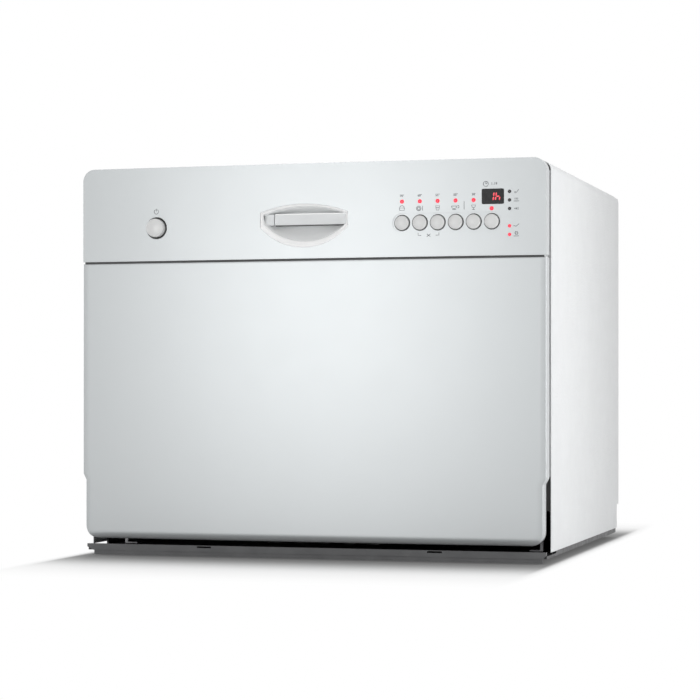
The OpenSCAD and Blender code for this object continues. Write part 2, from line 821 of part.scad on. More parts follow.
module tub_back() place() color("silver") {
  along_y(tub_back_d, tub_back_d + tub_t) rounded(-tub_half - tub_t, basin_z - 4,
    tub_half + tub_t, tub_top_z + tub_t, 18);
  difference() {
    along_y(tub_back_d - 3, tub_back_d) rounded(-tub_half + 40, ledge_z + 70,
      tub_half - 40, tub_top_z - 50, 20);
    along_y(tub_back_d - 4, tub_back_d + cut) rounded(-tub_half + 52, ledge_z + 82,
      tub_half - 52, tub_top_z - 62, 12);
  }
}

module tub_floor() place() color("silver") {
  difference() {
    union() {
      box(-tub_half, tub_front, ledge_z - tub_t, tub_half, tub_back_d, ledge_z);
      rounded_box(-basin_half - tub_t, basin_front - tub_t, basin_z - tub_t,
        basin_half + tub_t, basin_back + tub_t, ledge_z, 30 + tub_t);
    }
    rounded_box(-basin_half, basin_front, basin_z, basin_half, basin_back, ledge_z + cut, 30);
    translate([filter_x, arm_d, basin_z - cut - tub_t]) cylinder(h = 9, r = filter_r + 4);
    translate([salt_x, salt_d, basin_z - cut - tub_t]) cylinder(h = 9, r = salt_r + 3);
    for (x = [-1, 1] * 20) translate([x, arm_d + heater_r, basin_z - cut - tub_t])
      cylinder(h = 9, r = heat_r + 0.2);
    translate([0, arm_d, basin_z - cut - tub_t]) cylinder(h = 9, r = post_r);
  }
}

// Two pressings with a seam under the sill, and a bridge below the latch's slot
module tub_front_frame() place() color("silver") {
  gap = latch_slot_half + 2;
  difference() {
    along_y(frame_d, frame_d + frame_t) rounded(-wrap_in + 1, mouth_low - 17,
      wrap_in - 1, wrap_top - wrap_t - 0.6, 10);
    along_y(frame_d - cut, frame_d + frame_t + cut) rounded(-mouth_half, mouth_low,
      mouth_half, mouth_top, mouth_r);
    box(-gap, frame_d - cut, mouth_top - cut, gap, frame_d + frame_t + cut, front_h);
    box(-0.05, frame_d - cut, 0, 0.05, frame_d + frame_t + cut, mouth_low + cut);
  }
  box(-gap + 0.05, frame_d, mouth_top, gap - 0.05, frame_d + frame_t, latch_slot_z - 0.3);
}

module door_gasket() place() color("dimgray") {
  difference() {
    along_y(rim_back + seat, frame_d) rounded(-mouth_half - 1 - gasket_w,
      mouth_low - 1 - gasket_w, mouth_half + 1 + gasket_w, mouth_top + 1 + gasket_w,
      mouth_r + 1 + gasket_w);
    along_y(rim_back - cut, frame_d + cut) rounded(-mouth_half - 1, mouth_low - 1,
      mouth_half + 1, mouth_top + 1, mouth_r + 1);
    along_y(rim_back + 3, frame_d - 2.5) difference() {
      rounded(-mouth_half - 8, mouth_low - 8, mouth_half + 8, mouth_top + 8, mouth_r + 8);
      rounded(-mouth_half - 3.5, mouth_low - 3.5, mouth_half + 3.5, mouth_top + 3.5,
        mouth_r + 3.5);
    }
  }
}

module rack_rails() place() color("lightgray") {
  both_sides() {
    along_y(tub_front + 20, tub_back_d - 20) polygon([[tub_half, rail_z],
      [tub_half - 15, rail_z], [tub_half - 15, rail_z + 1.5], [tub_half - 1.5, rail_z + 1.5],
      [tub_half - 1.5, rail_z + 14], [tub_half, rail_z + 14]]);
  }
}

module sump() place() color("dimgray") {
  translate([filter_x, arm_d, 0]) difference() {
    union() {
      translate([0, 0, sump_low]) cylinder(h = basin_z - tub_t - sump_low, r = sump_r);
      translate([0, 0, base_top]) cylinder(h = 9, r = 14);
      rotate([0, 90, 0]) translate([-sump_low - 14, 0, 0]) cylinder(h = 90, r = 11);
    }
    translate([0, 0, sump_low + 2]) cylinder(h = 90, r = filter_r + 2);
  }
}

module filter_plate() place() color("silver") {
  difference() {
    translate([filter_x, arm_d, basin_z]) cylinder(h = 2, r = 62);
    translate([filter_x, arm_d, basin_z - cut]) cylinder(h = 9, r = filter_r + 0.8);
    for (a = [0:20:340], r = [40, 48, 56]) translate([filter_x, arm_d, 0]) rotate([0, 0, a])
      translate([r, 0, basin_z - cut]) cylinder(h = 9, r = 2, $fn = prism_fn);
    translate([0, arm_d, basin_z - cut]) cylinder(h = 9, r = hub_r + 3);
  }
}

// The turning filter: a mesh cup hung on a collar, with a grip to turn it by
module micro_filter() place() color("gainsboro") {
  translate([filter_x, arm_d, 0]) {
    difference() {
      translate([0, 0, sump_low + 6]) cylinder(h = mesh_top - sump_low - 6, r = filter_r);
      translate([0, 0, sump_low + 6 + mesh_t]) cylinder(h = 90, r = filter_r - mesh_t);
      for (a = [0:30:150], z = [0:9:27]) rotate([0, 0, a])
        box(-filter_r - cut, -3, sump_low + 12 + z, filter_r + cut, 3, sump_low + 17 + z);
    }
    difference() {
      translate([0, 0, basin_z + 2 + seat]) cylinder(h = 2.6, r = filter_r + 4);
      translate([0, 0, basin_z]) cylinder(h = 9, r = filter_r - mesh_t);
    }
    difference() {
      box(-filter_r + 1, -2, basin_z - 2, filter_r - 1, 2, arm_z - 2);
      box(-filter_r + 9, -3, basin_z + 2, filter_r - 9, 3, arm_z - 6);
    }
  }
}

// A ring heater with both ends turned down through the floor
module heater() place() color("dimgray") {
  translate([0, arm_d, heat_z]) difference() {
    rotate_extrude($fn = round_fn) translate([heater_r, 0]) circle(heat_r, $fn = 24);
    box(-20, heater_r - 9, -9, 20, heater_r + 9, 9);
  }
  for (x = [-1, 1] * 20) translate([x, arm_d + heater_r, base_top + 22])
    cylinder(h = heat_z - base_top - 22 + heat_r, r = heat_r);
  for (a = [-60, 60, 180]) translate([0, arm_d, 0]) rotate([0, 0, a])
    box(heater_r - 3, -3, basin_z, heater_r + 3, 3, heat_z - 2);
}

module wash_pump() place() color("dimgray") {
  rod_y(pump_x, 210, 262, pump_z, pump_r);
  rod_y(pump_x, 262, 300, pump_z, pump_r - 6);
  rod_x(filter_x + sump_r + 56, pump_x - 10, arm_d, sump_low + 14, 11);
  for (y = [222, 290]) box(pump_x - 12, y - 4, base_top, pump_x + 12, y + 4, pump_z - 12);
}

module drain_pump() place() color("dimgray") {
  rod_y(pump_x - 70, 345, 377, base_top + 24, 22);
  rod_y(pump_x - 70, 377, 405, base_top + 24, 15);
  rod_x(drain_x - 6, pump_x - 88, 365, spigot_z, 7);
  box(pump_x - 82, 353, base_top, pump_x - 58, 369, base_top + 12);
}

module water_softener() place() color("whitesmoke") {
  difference() {
    union() {
      rounded_box(-262, salt_d - 52, base_top, salt_x + 26, salt_d + 52,
        basin_z - tub_t, 10);
      translate([salt_x, salt_d, basin_z - 12]) cylinder(h = 16, r = salt_r + 2.5);
    }
    translate([salt_x, salt_d, base_top + 3]) cylinder(h = 90, r = salt_r - 3);
    translate([salt_x, salt_d, basin_z - 2]) cylinder(h = 90, r = salt_r - 3 + run_gap);
    box(-270, salt_d - 54, ledge_z - tub_t - 20, -262.5, salt_d + 54, 99);
  }
}

module salt_cap() place() color("white") {
  translate([salt_x, salt_d, 0]) {
    difference() {
      translate([0, 0, basin_z + 4 + seat]) cylinder(h = 6, r = salt_r);
      for (a = [0:24:336]) rotate([0, 0, a]) translate([salt_r + 0.8, 0, basin_z])
        cylinder(h = 20, r = 1.8, $fn = prism_fn);
    }
    translate([0, 0, basin_z - 1]) cylinder(h = 6, r = salt_r - 3);
    box(-salt_r + 5, -2, basin_z + 9, salt_r - 5, 2, basin_z + 14);
  }
}

module spray_bearing() place() color("gainsboro") {
  translate([0, arm_d, 0]) {
    translate([0, 0, basin_z]) cylinder(h = 4, r = hub_r - 4);
    translate([0, 0, basin_z - tub_t - 6]) cylinder(h = arm_z + arm_t - 2 - basin_z + 7,
      r = post_r - run_gap);
    translate([0, 0, arm_z - 4]) cylinder(h = 4 - seat, r = post_r + 5);
  }
}

// A flat hollow-looking arm with nozzles along both wings
module spray_arm() place() color("silver") {
  translate([0, arm_d, arm_z]) difference() {
    union() {
      linear_extrude(arm_t) {
        rounded(-arm_r, -arm_w / 2, arm_r, arm_w / 2, arm_w / 2 - 0.01);
        circle(hub_r);
      }
      cylinder(h = arm_t + 3, r = 15);
    }
    translate([0, 0, -cut]) cylinder(h = arm_t - 1, r = post_r);
    for (s = [-1, 1]) {
      rotate([0, 0, s > 0 ? 0 : 180]) {
        for (i = [0:4]) translate([52 + i * 28, i % 2 * 10 - 5, arm_t - 3])
          cylinder(h = 9, r = 1.8, $fn = prism_fn);
        translate([arm_r - 11, 0, arm_t - 3]) cylinder(h = 9, r = 3);
      }
    }
    for (s = [-1, 1]) translate([s * (arm_r / 2 + 16), s * (arm_w / 2 + 3), -cut])
      rounded_box(-58, -6, 0, 58, 6, arm_t + 3, 5);
  }
}

// A hose end seats on the step where the pipe leaves the tray
module spigot(x, d, r, l, flange_r) {
  difference() {
    union() {
      rod_y(x, d, spigot_seat, spigot_z, r - spigot_step);
      rod_y(x, spigot_seat, spigot_seat + l, spigot_z, r);
      rod_y(x, base_back - 9, base_back - 3, spigot_z, flange_r);
    }
    rod_y(x, d + 4, spigot_seat + l + cut, spigot_z, r - spigot_wall);
  }
}

module inlet_valve() place() color("dimgray") {
  spigot(inlet_x, base_back - 30, inlet_r, inlet_l, inlet_r + 2.6);
  box(inlet_x - 14, base_back - 60, base_top, inlet_x + 14, base_back - 28, spigot_z + 30);
}

module drain_spigot() place() color("gray") {
  spigot(drain_x, 372, drain_r, drain_l, drain_r + 6);
}

module cable_gland() place() color("black") {
  difference() {
    union() {
      rod_y(gland_x, base_back - 8, base_back + 8, spigot_z, 8);
      rod_y(gland_x, base_back - 8, base_back - 3, spigot_z, 12);
    }
    rod_y(gland_x, base_back - 9, base_back + 9, spigot_z, 4);
  }
}

// The water's air gap, a flat ribbed tank beside the tub
module air_break_chamber() place() color("gainsboro") {
  x0 = -wrap_in + seat;
  x1 = -tub_half - tub_t - 5;
  difference() {
    along_x(x0, x1) rounded(130, 120, 390, 400, 14);
    for (z = [170:40:360]) box(x0 - cut, 146, z, x0 + 3, 374, z + 26);
  }
}

module insulation_pad() place() color("dimgray") {
  difference() {
    along_y(tub_front + 8, tub_back_d - 8) rounded(-tub_half - tub_t - 4, 124,
      tub_half + tub_t + 4, tub_top_z + tub_t + 4, 23);
    along_y(tub_front, tub_back_d) rounded(-tub_half - tub_t - 0.02, 100,
      tub_half + tub_t + 0.02, tub_top_z + tub_t + 0.02, 19);
    box(-half_w, 0, 100, half_w, back_d, 146);
  }
}

module wire_x(x0, x1, d, z, r) {
  translate([x0, d, z]) rotate([0, 90, 0]) rotate([0, 0, 22.5])
    cylinder(h = x1 - x0, r = r, $fn = prism_fn);
}

module wire_y(x, d0, d1, z, r) {
  translate([x, d1, z]) rotate([90, 0, 0]) rotate([0, 0, 22.5])
    cylinder(h = d1 - d0, r = r, $fn = prism_fn);
}

module wire_z(x, d, z0, z1, r) {
  translate([x, d, z0]) rotate([0, 0, 22.5]) cylinder(h = z1 - z0, r = r, $fn = prism_fn);
}

// An upright on the rack's side with the eye that the cup shelf turns in
module shelf_eye(d) {
  wire_z(-rack_half + rim_wire_r, d, rim_z, shelf_z, rim_wire_r);
  along_y(d - 2, d + 2) difference() {
    union() {
      translate([shelf_rod, shelf_z]) circle(shelf_eye_r);
      translate([-rack_half + rim_wire_r, shelf_z - shelf_eye_r])
        square([shelf_rod + rack_half - rim_wire_r, shelf_eye_r]);
    }
    translate([shelf_rod, shelf_z]) circle(rim_wire_r + run_gap);
  }
}

// The coated wire basket: floor grid, upright wires, ring wires and a heavy rim
module rack_basket() place() color("whitesmoke") {
  x1 = rack_half - rim_wire_r;
  y0 = rack_set_d + 3;
  y1 = rack_back - rim_wire_r;
  lean = atan2(rack_set_d - rack_d, rack_set_z - rack_z);
  slant = norm([rack_set_d - rack_d, rack_set_z - rack_z]);
  for (i = [0:floor_count]) {
    x = floor_x(i);
    wire_y(x, y0 - 3, y1, rack_z, wire_r);
    wire_z(x, y1, rack_z - wire_r, rim_z, wire_r);
    wire_z(x, rack_d + 2, rack_set_z, rim_z, wire_r);
    translate([x, rack_set_d, rack_z]) rotate([lean, 0, 0]) rotate([0, 0, 22.5])
      cylinder(h = slant + 2, r = wire_r, $fn = prism_fn);
  }
  for (i = [0:side_count]) {
    y = y0 + 6 + i * (y1 - y0 - 12) / side_count;
    wire_x(-x1, x1, y, rack_z - 2 * wire_r + 0.4, wire_r);
    both_sides() wire_z(x1, y, rack_z - 2 * wire_r, rim_z, wire_r);
  }
  for (z = [rack_set_z + 6, rim_z]) {
    r = z == rim_z ? rim_wire_r : wire_r;
    both_sides() wire_y(x1, rack_d, y1 + r, z, r);
    wire_x(-x1 - r, x1 + r, rack_d + 2, z, r);
    wire_x(-x1 - r, x1 + r, y1, z, r);
  }
  both_sides() {
    for (d = axle_d) {
      box(rack_half - 5, d - 7, axle_z - 6, rack_half - 1, d + 7, rack_z + 20);
      rod_x(rack_half - 2, wheel_x + wheel_w / 2 - 1, d, axle_z, axle_r);
    }
  }
  for (d = [shelf_d - 110, shelf_d + 110]) shelf_eye(d);
}

function floor_x(i) = -rack_half + rim_wire_r + 20
  + i * (rack_w - 2 * rim_wire_r - 40) / floor_count;

// Two combs of bent tines that hold the plates on edge
module plate_tines() place() color("whitesmoke") {
  z = rack_z + flat * (wire_r + tine_r);
  for (i = [1, 3, 6, 8]) {
    wire_y(floor_x(i), rack_set_d + 24, rack_back - 34, z, tine_r);
    for (k = [0:8]) translate([floor_x(i), rack_set_d + 36 + k * 30, z])
      rotate([-8, 0, 0]) cylinder(h = i > 4 ? 52 : 84, r = tine_r - 0.2, $fn = prism_fn);
  }
}

module rack_grip() place() color("lightgray") {
  back = rack_d + 2 - flat * rim_wire_r;
  difference() {
    along_y(back - 6, back) rounded(-62, rim_z - 26, 62, rim_z + 6, 8);
    along_y(back - 7, back + cut) rounded(-48, rim_z - 19, 48, rim_z - 5, 6);
  }
  box(-50, back - cut, rim_z + flat * rim_wire_r, 50, back + 7, rim_z + 5);
}

module rack_wheel(s, d) place() color("gainsboro") {
  x0 = s * wheel_x - wheel_w / 2;
  difference() {
    rod_x(x0, x0 + wheel_w, d, axle_z, wheel_r);
    rod_x(x0 - cut, x0 + wheel_w + cut, d, axle_z, axle_r + run_gap);
    for (e = [x0 - cut, x0 + wheel_w - 2]) difference() {
      rod_x(e, e + 3, d, axle_z, wheel_r - 3);
      rod_x(e, e + 3, d, axle_z, axle_r + 2.5);
    }
  }
}

module rack_wheel_1() rack_wheel(-1, axle_d[0]);
module rack_wheel_2() rack_wheel(1, axle_d[0]);
module rack_wheel_3() rack_wheel(-1, axle_d[1]);
module rack_wheel_4() rack_wheel(1, axle_d[1]);

// An open-topped basket of six cells with slotted walls
module cutlery_basket() place() color("gainsboro") {
  x0 = basket_x - basket_w / 2;
  y0 = basket_d - basket_l / 2;
  cell_x = (basket_w - 3 * basket_t) / 2;
  cell_y = (basket_l - 4 * basket_t) / 3;
  difference() {
    rounded_box(x0, y0, basket_z, x0 + basket_w, y0 + basket_l, basket_z + basket_h, 6);
    for (i = [0:1], j = [0:2]) translate([x0 + basket_t + i * (cell_x + basket_t),
      y0 + basket_t + j * (cell_y + basket_t), basket_z + basket_t])
        cube([cell_x, cell_y, basket_h]);
    for (j = [0:2], k = [0:2]) box(x0 - cut, y0 + 12 + j * (cell_y + basket_t),
      basket_z + 14 + k * 30, x0 + basket_w + cut, y0 + cell_y - 6 + j * (cell_y + basket_t),
      basket_z + 34 + k * 30);
  }
  difference() {
    along_x(basket_x - basket_t / 2, basket_x + basket_t / 2) rounded(y0 + 30,
      basket_z + basket_h - 6, y0 + basket_l - 30, basket_z + basket_h + 28, 8);
    along_x(basket_x - basket_t, basket_x + basket_t) rounded(y0 + 38,
      basket_z + basket_h + 2, y0 + basket_l - 38, basket_z + basket_h + 21, 6);
  }
}

// The folding cup shelf, hung on the rack's left side
module cup_shelf() place() color("gainsboro") {
  y0 = shelf_d - shelf_l / 2;
  rod_y(shelf_rod, y0, y0 + shelf_l, shelf_z, rim_wire_r);
  wire_y(shelf_x + shelf_w, y0, y0 + shelf_l, shelf_z + 4, rim_wire_r);
  for (i = [0:12]) wire_x(shelf_x + 7, shelf_x + shelf_w + 1, y0 + 3 + i * (shelf_l - 6) / 12,
    shelf_z + 2, wire_r);
}

base_tray();
plinth();
cabinet_wrap();
rear_cover();
feet();
tub_wrap();
tub_back();
tub_floor();
tub_front_frame();
door_gasket();
rack_rails();
sump();
filter_plate();
heater();
wash_pump();
drain_pump();
water_softener();
inlet_valve();
drain_spigot();
cable_gland();
air_break_chamber();
insulation_pad();
door_strike();
hinge_brackets();
spray_bearing();
door_skin();
control_fascia();
door_liner();
handle_pocket();
dispenser_body();
hinge_arms();
control_board();
display_module();
display_window();
program_lamps();
status_lamps();
switch_carrier();
power_button();
program_button_1();
program_button_2();
program_button_3();
program_button_4();
program_button_5();
program_button_6();
handle_flap();
latch_hook();
dispenser_lid();
rinse_cap();
rack_basket();
plate_tines();
rack_grip();
rack_wheel_1();
rack_wheel_2();
rack_wheel_3();
rack_wheel_4();
cutlery_basket();
cup_shelf();
spray_arm();
micro_filter();
salt_cap();
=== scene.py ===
"""Finishes a countertop dishwasher: front, panel, cabinet, tub, rack and washing parts."""

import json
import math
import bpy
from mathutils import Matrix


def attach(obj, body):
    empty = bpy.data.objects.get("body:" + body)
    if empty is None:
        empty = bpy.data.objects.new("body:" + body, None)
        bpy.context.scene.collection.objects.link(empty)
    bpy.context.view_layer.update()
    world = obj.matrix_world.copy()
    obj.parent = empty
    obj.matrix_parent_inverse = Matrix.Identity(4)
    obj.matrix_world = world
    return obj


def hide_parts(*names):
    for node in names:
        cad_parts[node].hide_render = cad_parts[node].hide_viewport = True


bl_info = {
    "name": "Countertop dishwasher",
    "version": (1, 0, 0),
    "blender": (4, 5, 0),
    "location": "View3D > Sidebar > Dishwasher",
    "description": "Makes the pieces of a countertop dishwasher and its studio",
    "category": "Object",
}

import bmesh
import bpy
from mathutils import Vector

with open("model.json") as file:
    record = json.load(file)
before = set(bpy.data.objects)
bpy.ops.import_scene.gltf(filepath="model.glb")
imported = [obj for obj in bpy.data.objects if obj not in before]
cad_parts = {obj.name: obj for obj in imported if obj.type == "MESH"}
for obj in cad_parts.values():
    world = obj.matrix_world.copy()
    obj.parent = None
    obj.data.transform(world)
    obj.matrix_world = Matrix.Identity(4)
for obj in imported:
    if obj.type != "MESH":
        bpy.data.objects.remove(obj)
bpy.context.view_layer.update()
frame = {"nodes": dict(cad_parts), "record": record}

RECORD = frame["record"]
BODIES = RECORD["behaviour"]["bodies"]
BODY_OF = {node: body for body, nodes in BODIES.items() for node in nodes}
SLOT_OF = {s["node"]: s["material_slot"] for s in RECORD["subparts"]}

# Sizes in millimetres: depths are counted from the flat of the door's front
MIDDLE = 255.0
HALF_W = 272.5
CROWN = 5.0
BOW = HALF_W * HALF_W / (2 * CROWN) + CROWN / 2
SKIN_LOW, SKIN_HIGH, FASCIA_LOW = 20.4, 337.6, 340.0
POWER_X = -180.7
BUTTON_X = [110.6 + 20.25 * i for i in range(6)]
BUTTON_Z = 377.6
LAMP_Z = [401.3] * 5 + [391.9]
STATUS_X = 231.8
STATUS_UNLIT_Z = (410, 400.6, 391.2)
STATUS_LIT_Z = (372.2, 362.8)
DISPLAY_X, DISPLAY_Z = 213.2, 405.0
HANDLE_X, HANDLE_HALF = -3.5, 51.4
RACK_SIDE, RACK_FRONT, RACK_BACK = 209.8, 72.0, 433.8
RACK_LOW, RACK_BEND, RACK_TOP = 106.0, 152.0, 236.0
AXLE_D, AXLE_Z = (170, 400), 93.3
SHELF_EYE_D, SHELF_Z = (142, 362), 262
LIGHT_WIRE, TINE_WIRE, HEAVY_WIRE = 1.5, 1.6, 2.2


def at(x, d, z):
    """A point in metres from width, depth behind the front and height in millimetres."""
    return Vector((x, d - MIDDLE, z)) / 1000


def face_d(x):
    """Depth of the bowed front's face at width x."""
    return BOW - CROWN - math.sqrt(BOW * BOW - x * x)


# ---------------------------------------------------------------- node trees


class Trees:
    """Writes a node tree; inputs are named with underscores for spaces, or _ and a place."""

    def __init__(self, tree):
        self.tree = tree
        tree.nodes.clear()

    def add(self, kind, settings=None, **inputs):
        node = self.tree.nodes.new(kind)
        for key, value in (settings or {}).items():
            setattr(node, key, value)
        for key, value in inputs.items():
            if key[0] == "_":
                socket = node.inputs[int(key[1:])]
            else:
                socket = next(
                    s
                    for s in node.inputs
                    if s.enabled and s.name.replace(" ", "_") == key
                )
            if isinstance(value, bpy.types.NodeSocket):
                self.tree.links.new(value, socket)
            else:
                socket.default_value = value
        return node


def shape_tree(name, sizes):
    """A new Geometry Nodes tree with a Geometry input and the named size inputs."""
    tree = bpy.data.node_groups.new(name, "GeometryNodeTree")
    tree.interface.new_socket("Geometry", in_out="INPUT", socket_type="NodeSocketGeometry")
    for label, (kind, value) in sizes.items():
        socket = tree.interface.new_socket(label, in_out="INPUT", socket_type=kind)
        if value is not None:
            socket.default_value = value
    tree.interface.new_socket("Geometry", in_out="OUTPUT", socket_type="NodeSocketGeometry")
    n = Trees(tree)
    return n, n.add("NodeGroupInput")


def grown(name, mesh, tree, **values):
    """The plain mesh that a Geometry Nodes tree makes from a mesh and its named sizes."""
    seed = bpy.data.objects.new(name, mesh)
    bpy.context.scene.collection.objects.link(seed)
    modifier = seed.modifiers.new("shape", "NODES")
    modifier.node_group = tree
    for item in tree.interface.items_tree:
        label = item.name.replace(" ", "_")
        if item.in_out == "INPUT" and label in values:
            modifier[item.identifier] = values[label]
    made = bpy.data.meshes.new_from_object(
        seed.evaluated_get(bpy.context.evaluated_depsgraph_get())
    )
    seed.modifiers.remove(modifier)
    bpy.data.objects.remove(seed)
    made.name = name
    return made


def wire_tree():
    """Wires of one gauge along lines, with rounded bends and ball ends."""
    name = "Bent wires"
    if name in bpy.data.node_groups:
        return bpy.data.node_groups[name]
    n, given = shape_tree(
        name,
        {
            "Gauge": ("NodeSocketFloat", 0.0015),
            "Bend": ("NodeSocketFloat", 0.005),
            "Sides": ("NodeSocketInt", 10),
            "Finish": ("NodeSocketMaterial", None),
        },
    )
    g = given.outputs
    line = n.add("GeometryNodeMeshToCurve", Mesh=g["Geometry"])
    bent = n.add(
        "GeometryNodeFilletCurve",
        {"mode": "POLY"},
        Curve=line.outputs[0],
        Radius=g["Bend"],
        Limit_Radius=True,
        Count=4,
    )
    ring = n.add("GeometryNodeCurvePrimitiveCircle", Resolution=g["Sides"])
    scaled = n.add(
        "GeometryNodeTransform",
        Geometry=ring.outputs[0],
        Scale=n.add(
            "ShaderNodeCombineXYZ", X=g["Gauge"], Y=g["Gauge"], Z=g["Gauge"]
        ).outputs[0],
    )
    tube = n.add(
        "GeometryNodeCurveToMesh",
        Curve=bent.outputs[0],
        Profile_Curve=scaled.outputs[0],
        Fill_Caps=True,
    )
    ends = n.add("GeometryNodeCurveEndpointSelection")
    ball = n.add("GeometryNodeMeshIcoSphere", Radius=g["Gauge"], Subdivisions=2)
    knobs = n.add(
        "GeometryNodeInstanceOnPoints",
        Points=n.add(
            "GeometryNodeCurveToPoints", {"mode": "EVALUATED"}, Curve=line.outputs[0]
        ).outputs["Points"],
        Selection=ends.outputs[0],
        Instance=ball.outputs[0],
    )
    both = n.add("GeometryNodeJoinGeometry")
    n.tree.links.new(tube.outputs[0], both.inputs[0])
    n.tree.links.new(knobs.outputs[0], both.inputs[0])
    real = n.add("GeometryNodeRealizeInstances", Geometry=both.outputs[0])
    smooth = n.add("GeometryNodeSetShadeSmooth", Geometry=real.outputs[0])
    done = n.add(
        "GeometryNodeSetMaterial", Geometry=smooth.outputs[0], Material=g["Finish"]
    )
    n.add("NodeGroupOutput", Geometry=done.outputs[0])
    return n.tree


def screw_tree():
    """Cross-recessed screw heads on points, along the normal, each turned at random."""
    name = "Screw heads"
    if name in bpy.data.node_groups:
        return bpy.data.node_groups[name]
    n, given = shape_tree(
        name,
        {
            "Head": ("NodeSocketFloat", 0.0035),
            "Tall": ("NodeSocketFloat", 0.0016),
            "Finish": ("NodeSocketMaterial", None),
        },
    )
    g = given.outputs
    dome = n.add("GeometryNodeMeshUVSphere", Segments=20, Rings=12, Radius=g["Head"])
    flatter = n.add("ShaderNodeMath", {"operation": "DIVIDE"}, _0=g["Tall"], _1=g["Head"])
    head = n.add(
        "GeometryNodeTransform",
        Geometry=dome.outputs[0],
        Scale=n.add("ShaderNodeCombineXYZ", X=1.0, Y=1.0, Z=flatter.outputs[0]).outputs[0],
    )
    long = n.add("ShaderNodeMath", {"operation": "MULTIPLY"}, _0=g["Head"], _1=1.15)
    thin = n.add("ShaderNodeMath", {"operation": "MULTIPLY"}, _0=g["Head"], _1=0.24)
    blades = []
    for x, y in ((long, thin), (thin, long)):
        size = n.add("ShaderNodeCombineXYZ", X=x.outputs[0], Y=y.outputs[0], Z=g["Tall"])
        blade = n.add("GeometryNodeMeshCube", Size=size.outputs[0])
        lift = n.add("ShaderNodeCombineXYZ", Z=g["Tall"])
        blades.append(
            n.add(
                "GeometryNodeTransform",
                Geometry=blade.outputs[0],
                Translation=lift.outputs[0],
            )
        )
    cut = n.add("GeometryNodeMeshBoolean", {"operation": "DIFFERENCE"})
    n.tree.links.new(head.outputs[0], cut.inputs["Mesh 1"])
    for blade in blades:
        n.tree.links.new(blade.outputs[0], cut.inputs["Mesh 2"])
    turn = n.add(
        "FunctionNodeRandomValue", {"data_type": "FLOAT"}, Min=0.0, Max=1.5, Seed=7
    )
    spin = n.add("ShaderNodeCombineXYZ", Z=[o for o in turn.outputs if o.enabled][0])
    aimed = n.add(
        "FunctionNodeAlignRotationToVector",
        {"axis": "Z"},
        Vector=n.add("GeometryNodeInputNormal").outputs[0],
    )
    heads = n.add(
        "GeometryNodeInstanceOnPoints",
        Points=g["Geometry"],
        Instance=cut.outputs[0],
        Rotation=aimed.outputs[0],
    )
    turned = n.add(
        "GeometryNodeRotateInstances",
        Instances=heads.outputs[0],
        Rotation=spin.outputs[0],
    )
    real = n.add("GeometryNodeRealizeInstances", Geometry=turned.outputs[0])
    done = n.add("GeometryNodeSetMaterial", Geometry=real.outputs[0], Material=g["Finish"])
    n.add("NodeGroupOutput", Geometry=done.outputs[0])
    return n.tree


# ---------------------------------------------------------------- finishes


def finish(
    name,
    colour,
    rough,
    metal=0.0,
    tones=(0.06, 0.03),
    polish=0.04,
    relief=(),
    stretch=(1, 1, 1),
    coat=0.0,
    gloss=0.5,
    glow=None,
):
    """A procedural finish: soft patches of tone, uneven polish and scales of relief.

    tones is the patches' size in metres and how far they differ, and relief is a list of
    (pattern, size, depth) in metres, where pattern is grain or cells.
    """
    if name in bpy.data.materials:
        return bpy.data.materials[name]
    material = bpy.data.materials.new(name)
    material.use_nodes = True
    n = Trees(material.node_tree)
    where = n.add("ShaderNodeTexCoord").outputs["Object"]
    along = n.add("ShaderNodeMapping", Vector=where, Scale=stretch).outputs[0]
    size, differ = tones
    patches = n.add(
        "ShaderNodeTexNoise", Vector=where, Scale=1 / size, Detail=3.0, Roughness=0.55
    )
    tone = n.add("ShaderNodeValToRGB", Fac=patches.outputs[0])
    for stop, place, k in zip(
        tone.color_ramp.elements, (0.3, 0.7), (1 - differ, 1 + differ)
    ):
        stop.position = place
        stop.color = (*[min(c * k, 1.0) for c in colour], 1)
    uneven = n.add("ShaderNodeTexNoise", Vector=along, Scale=1 / (size * 0.35), Detail=4.0)
    shine = n.add(
        "ShaderNodeMapRange",
        Value=uneven.outputs[0],
        From_Min=0.3,
        From_Max=0.7,
        To_Min=max(rough - polish, 0.02),
        To_Max=min(rough + polish, 1.0),
    )
    skin = n.add(
        "ShaderNodeBsdfPrincipled",
        Base_Color=tone.outputs[0],
        Roughness=shine.outputs[0],
        Metallic=metal,
        Coat_Weight=coat,
        Coat_Roughness=0.08,
        Specular_IOR_Level=gloss,
    )
    if glow:
        skin.inputs["Emission Color"].default_value = (*glow[0], 1)
        skin.inputs["Emission Strength"].default_value = glow[1]
    bump = None
    for pattern, grain, depth in relief:
        if pattern == "cells":
            made = n.add("ShaderNodeTexVoronoi", Vector=along, Scale=1 / grain)
        else:
            made = n.add("ShaderNodeTexNoise", Vector=along, Scale=1 / grain, Detail=2.0)
        height = made.outputs[0]
        step = n.add("ShaderNodeBump", Height=height, Distance=depth, Strength=1.0)
        if bump:
            n.tree.links.new(bump.outputs[0], step.inputs["Normal"])
        bump = step
    if bump:
        n.tree.links.new(bump.outputs[0], skin.inputs["Normal"])
    n.add("ShaderNodeOutputMaterial", Surface=skin.outputs[0])
    return material


def looks():
    return bpy.context.scene.dishwasher


def silver_lacquer():
    c = looks()
    return finish(
        "silver_lacquer",
        c.front_colour,
        c.front_polish,
        metal=0.35,
        tones=(0.09, 0.003),
        polish=0.004,
        relief=(("grain", 0.0005, 0.000004), ("grain", 0.012, 0.000001)),
    )


def white_paint():
    return finish(
        "white_paint",
        looks().side_colour,
        0.42,
        tones=(0.05, 0.012),
        polish=0.05,
        relief=(("grain", 0.0034, 0.0006), ("cells", 0.0018, 0.00016)),
    )


def white_plastic():
    return finish(
        "white_moulding",
        (0.82, 0.825, 0.82),
        0.32,
        tones=(0.03, 0.01),
        relief=(("grain", 0.0006, 0.000006),),
        coat=0.15,
    )


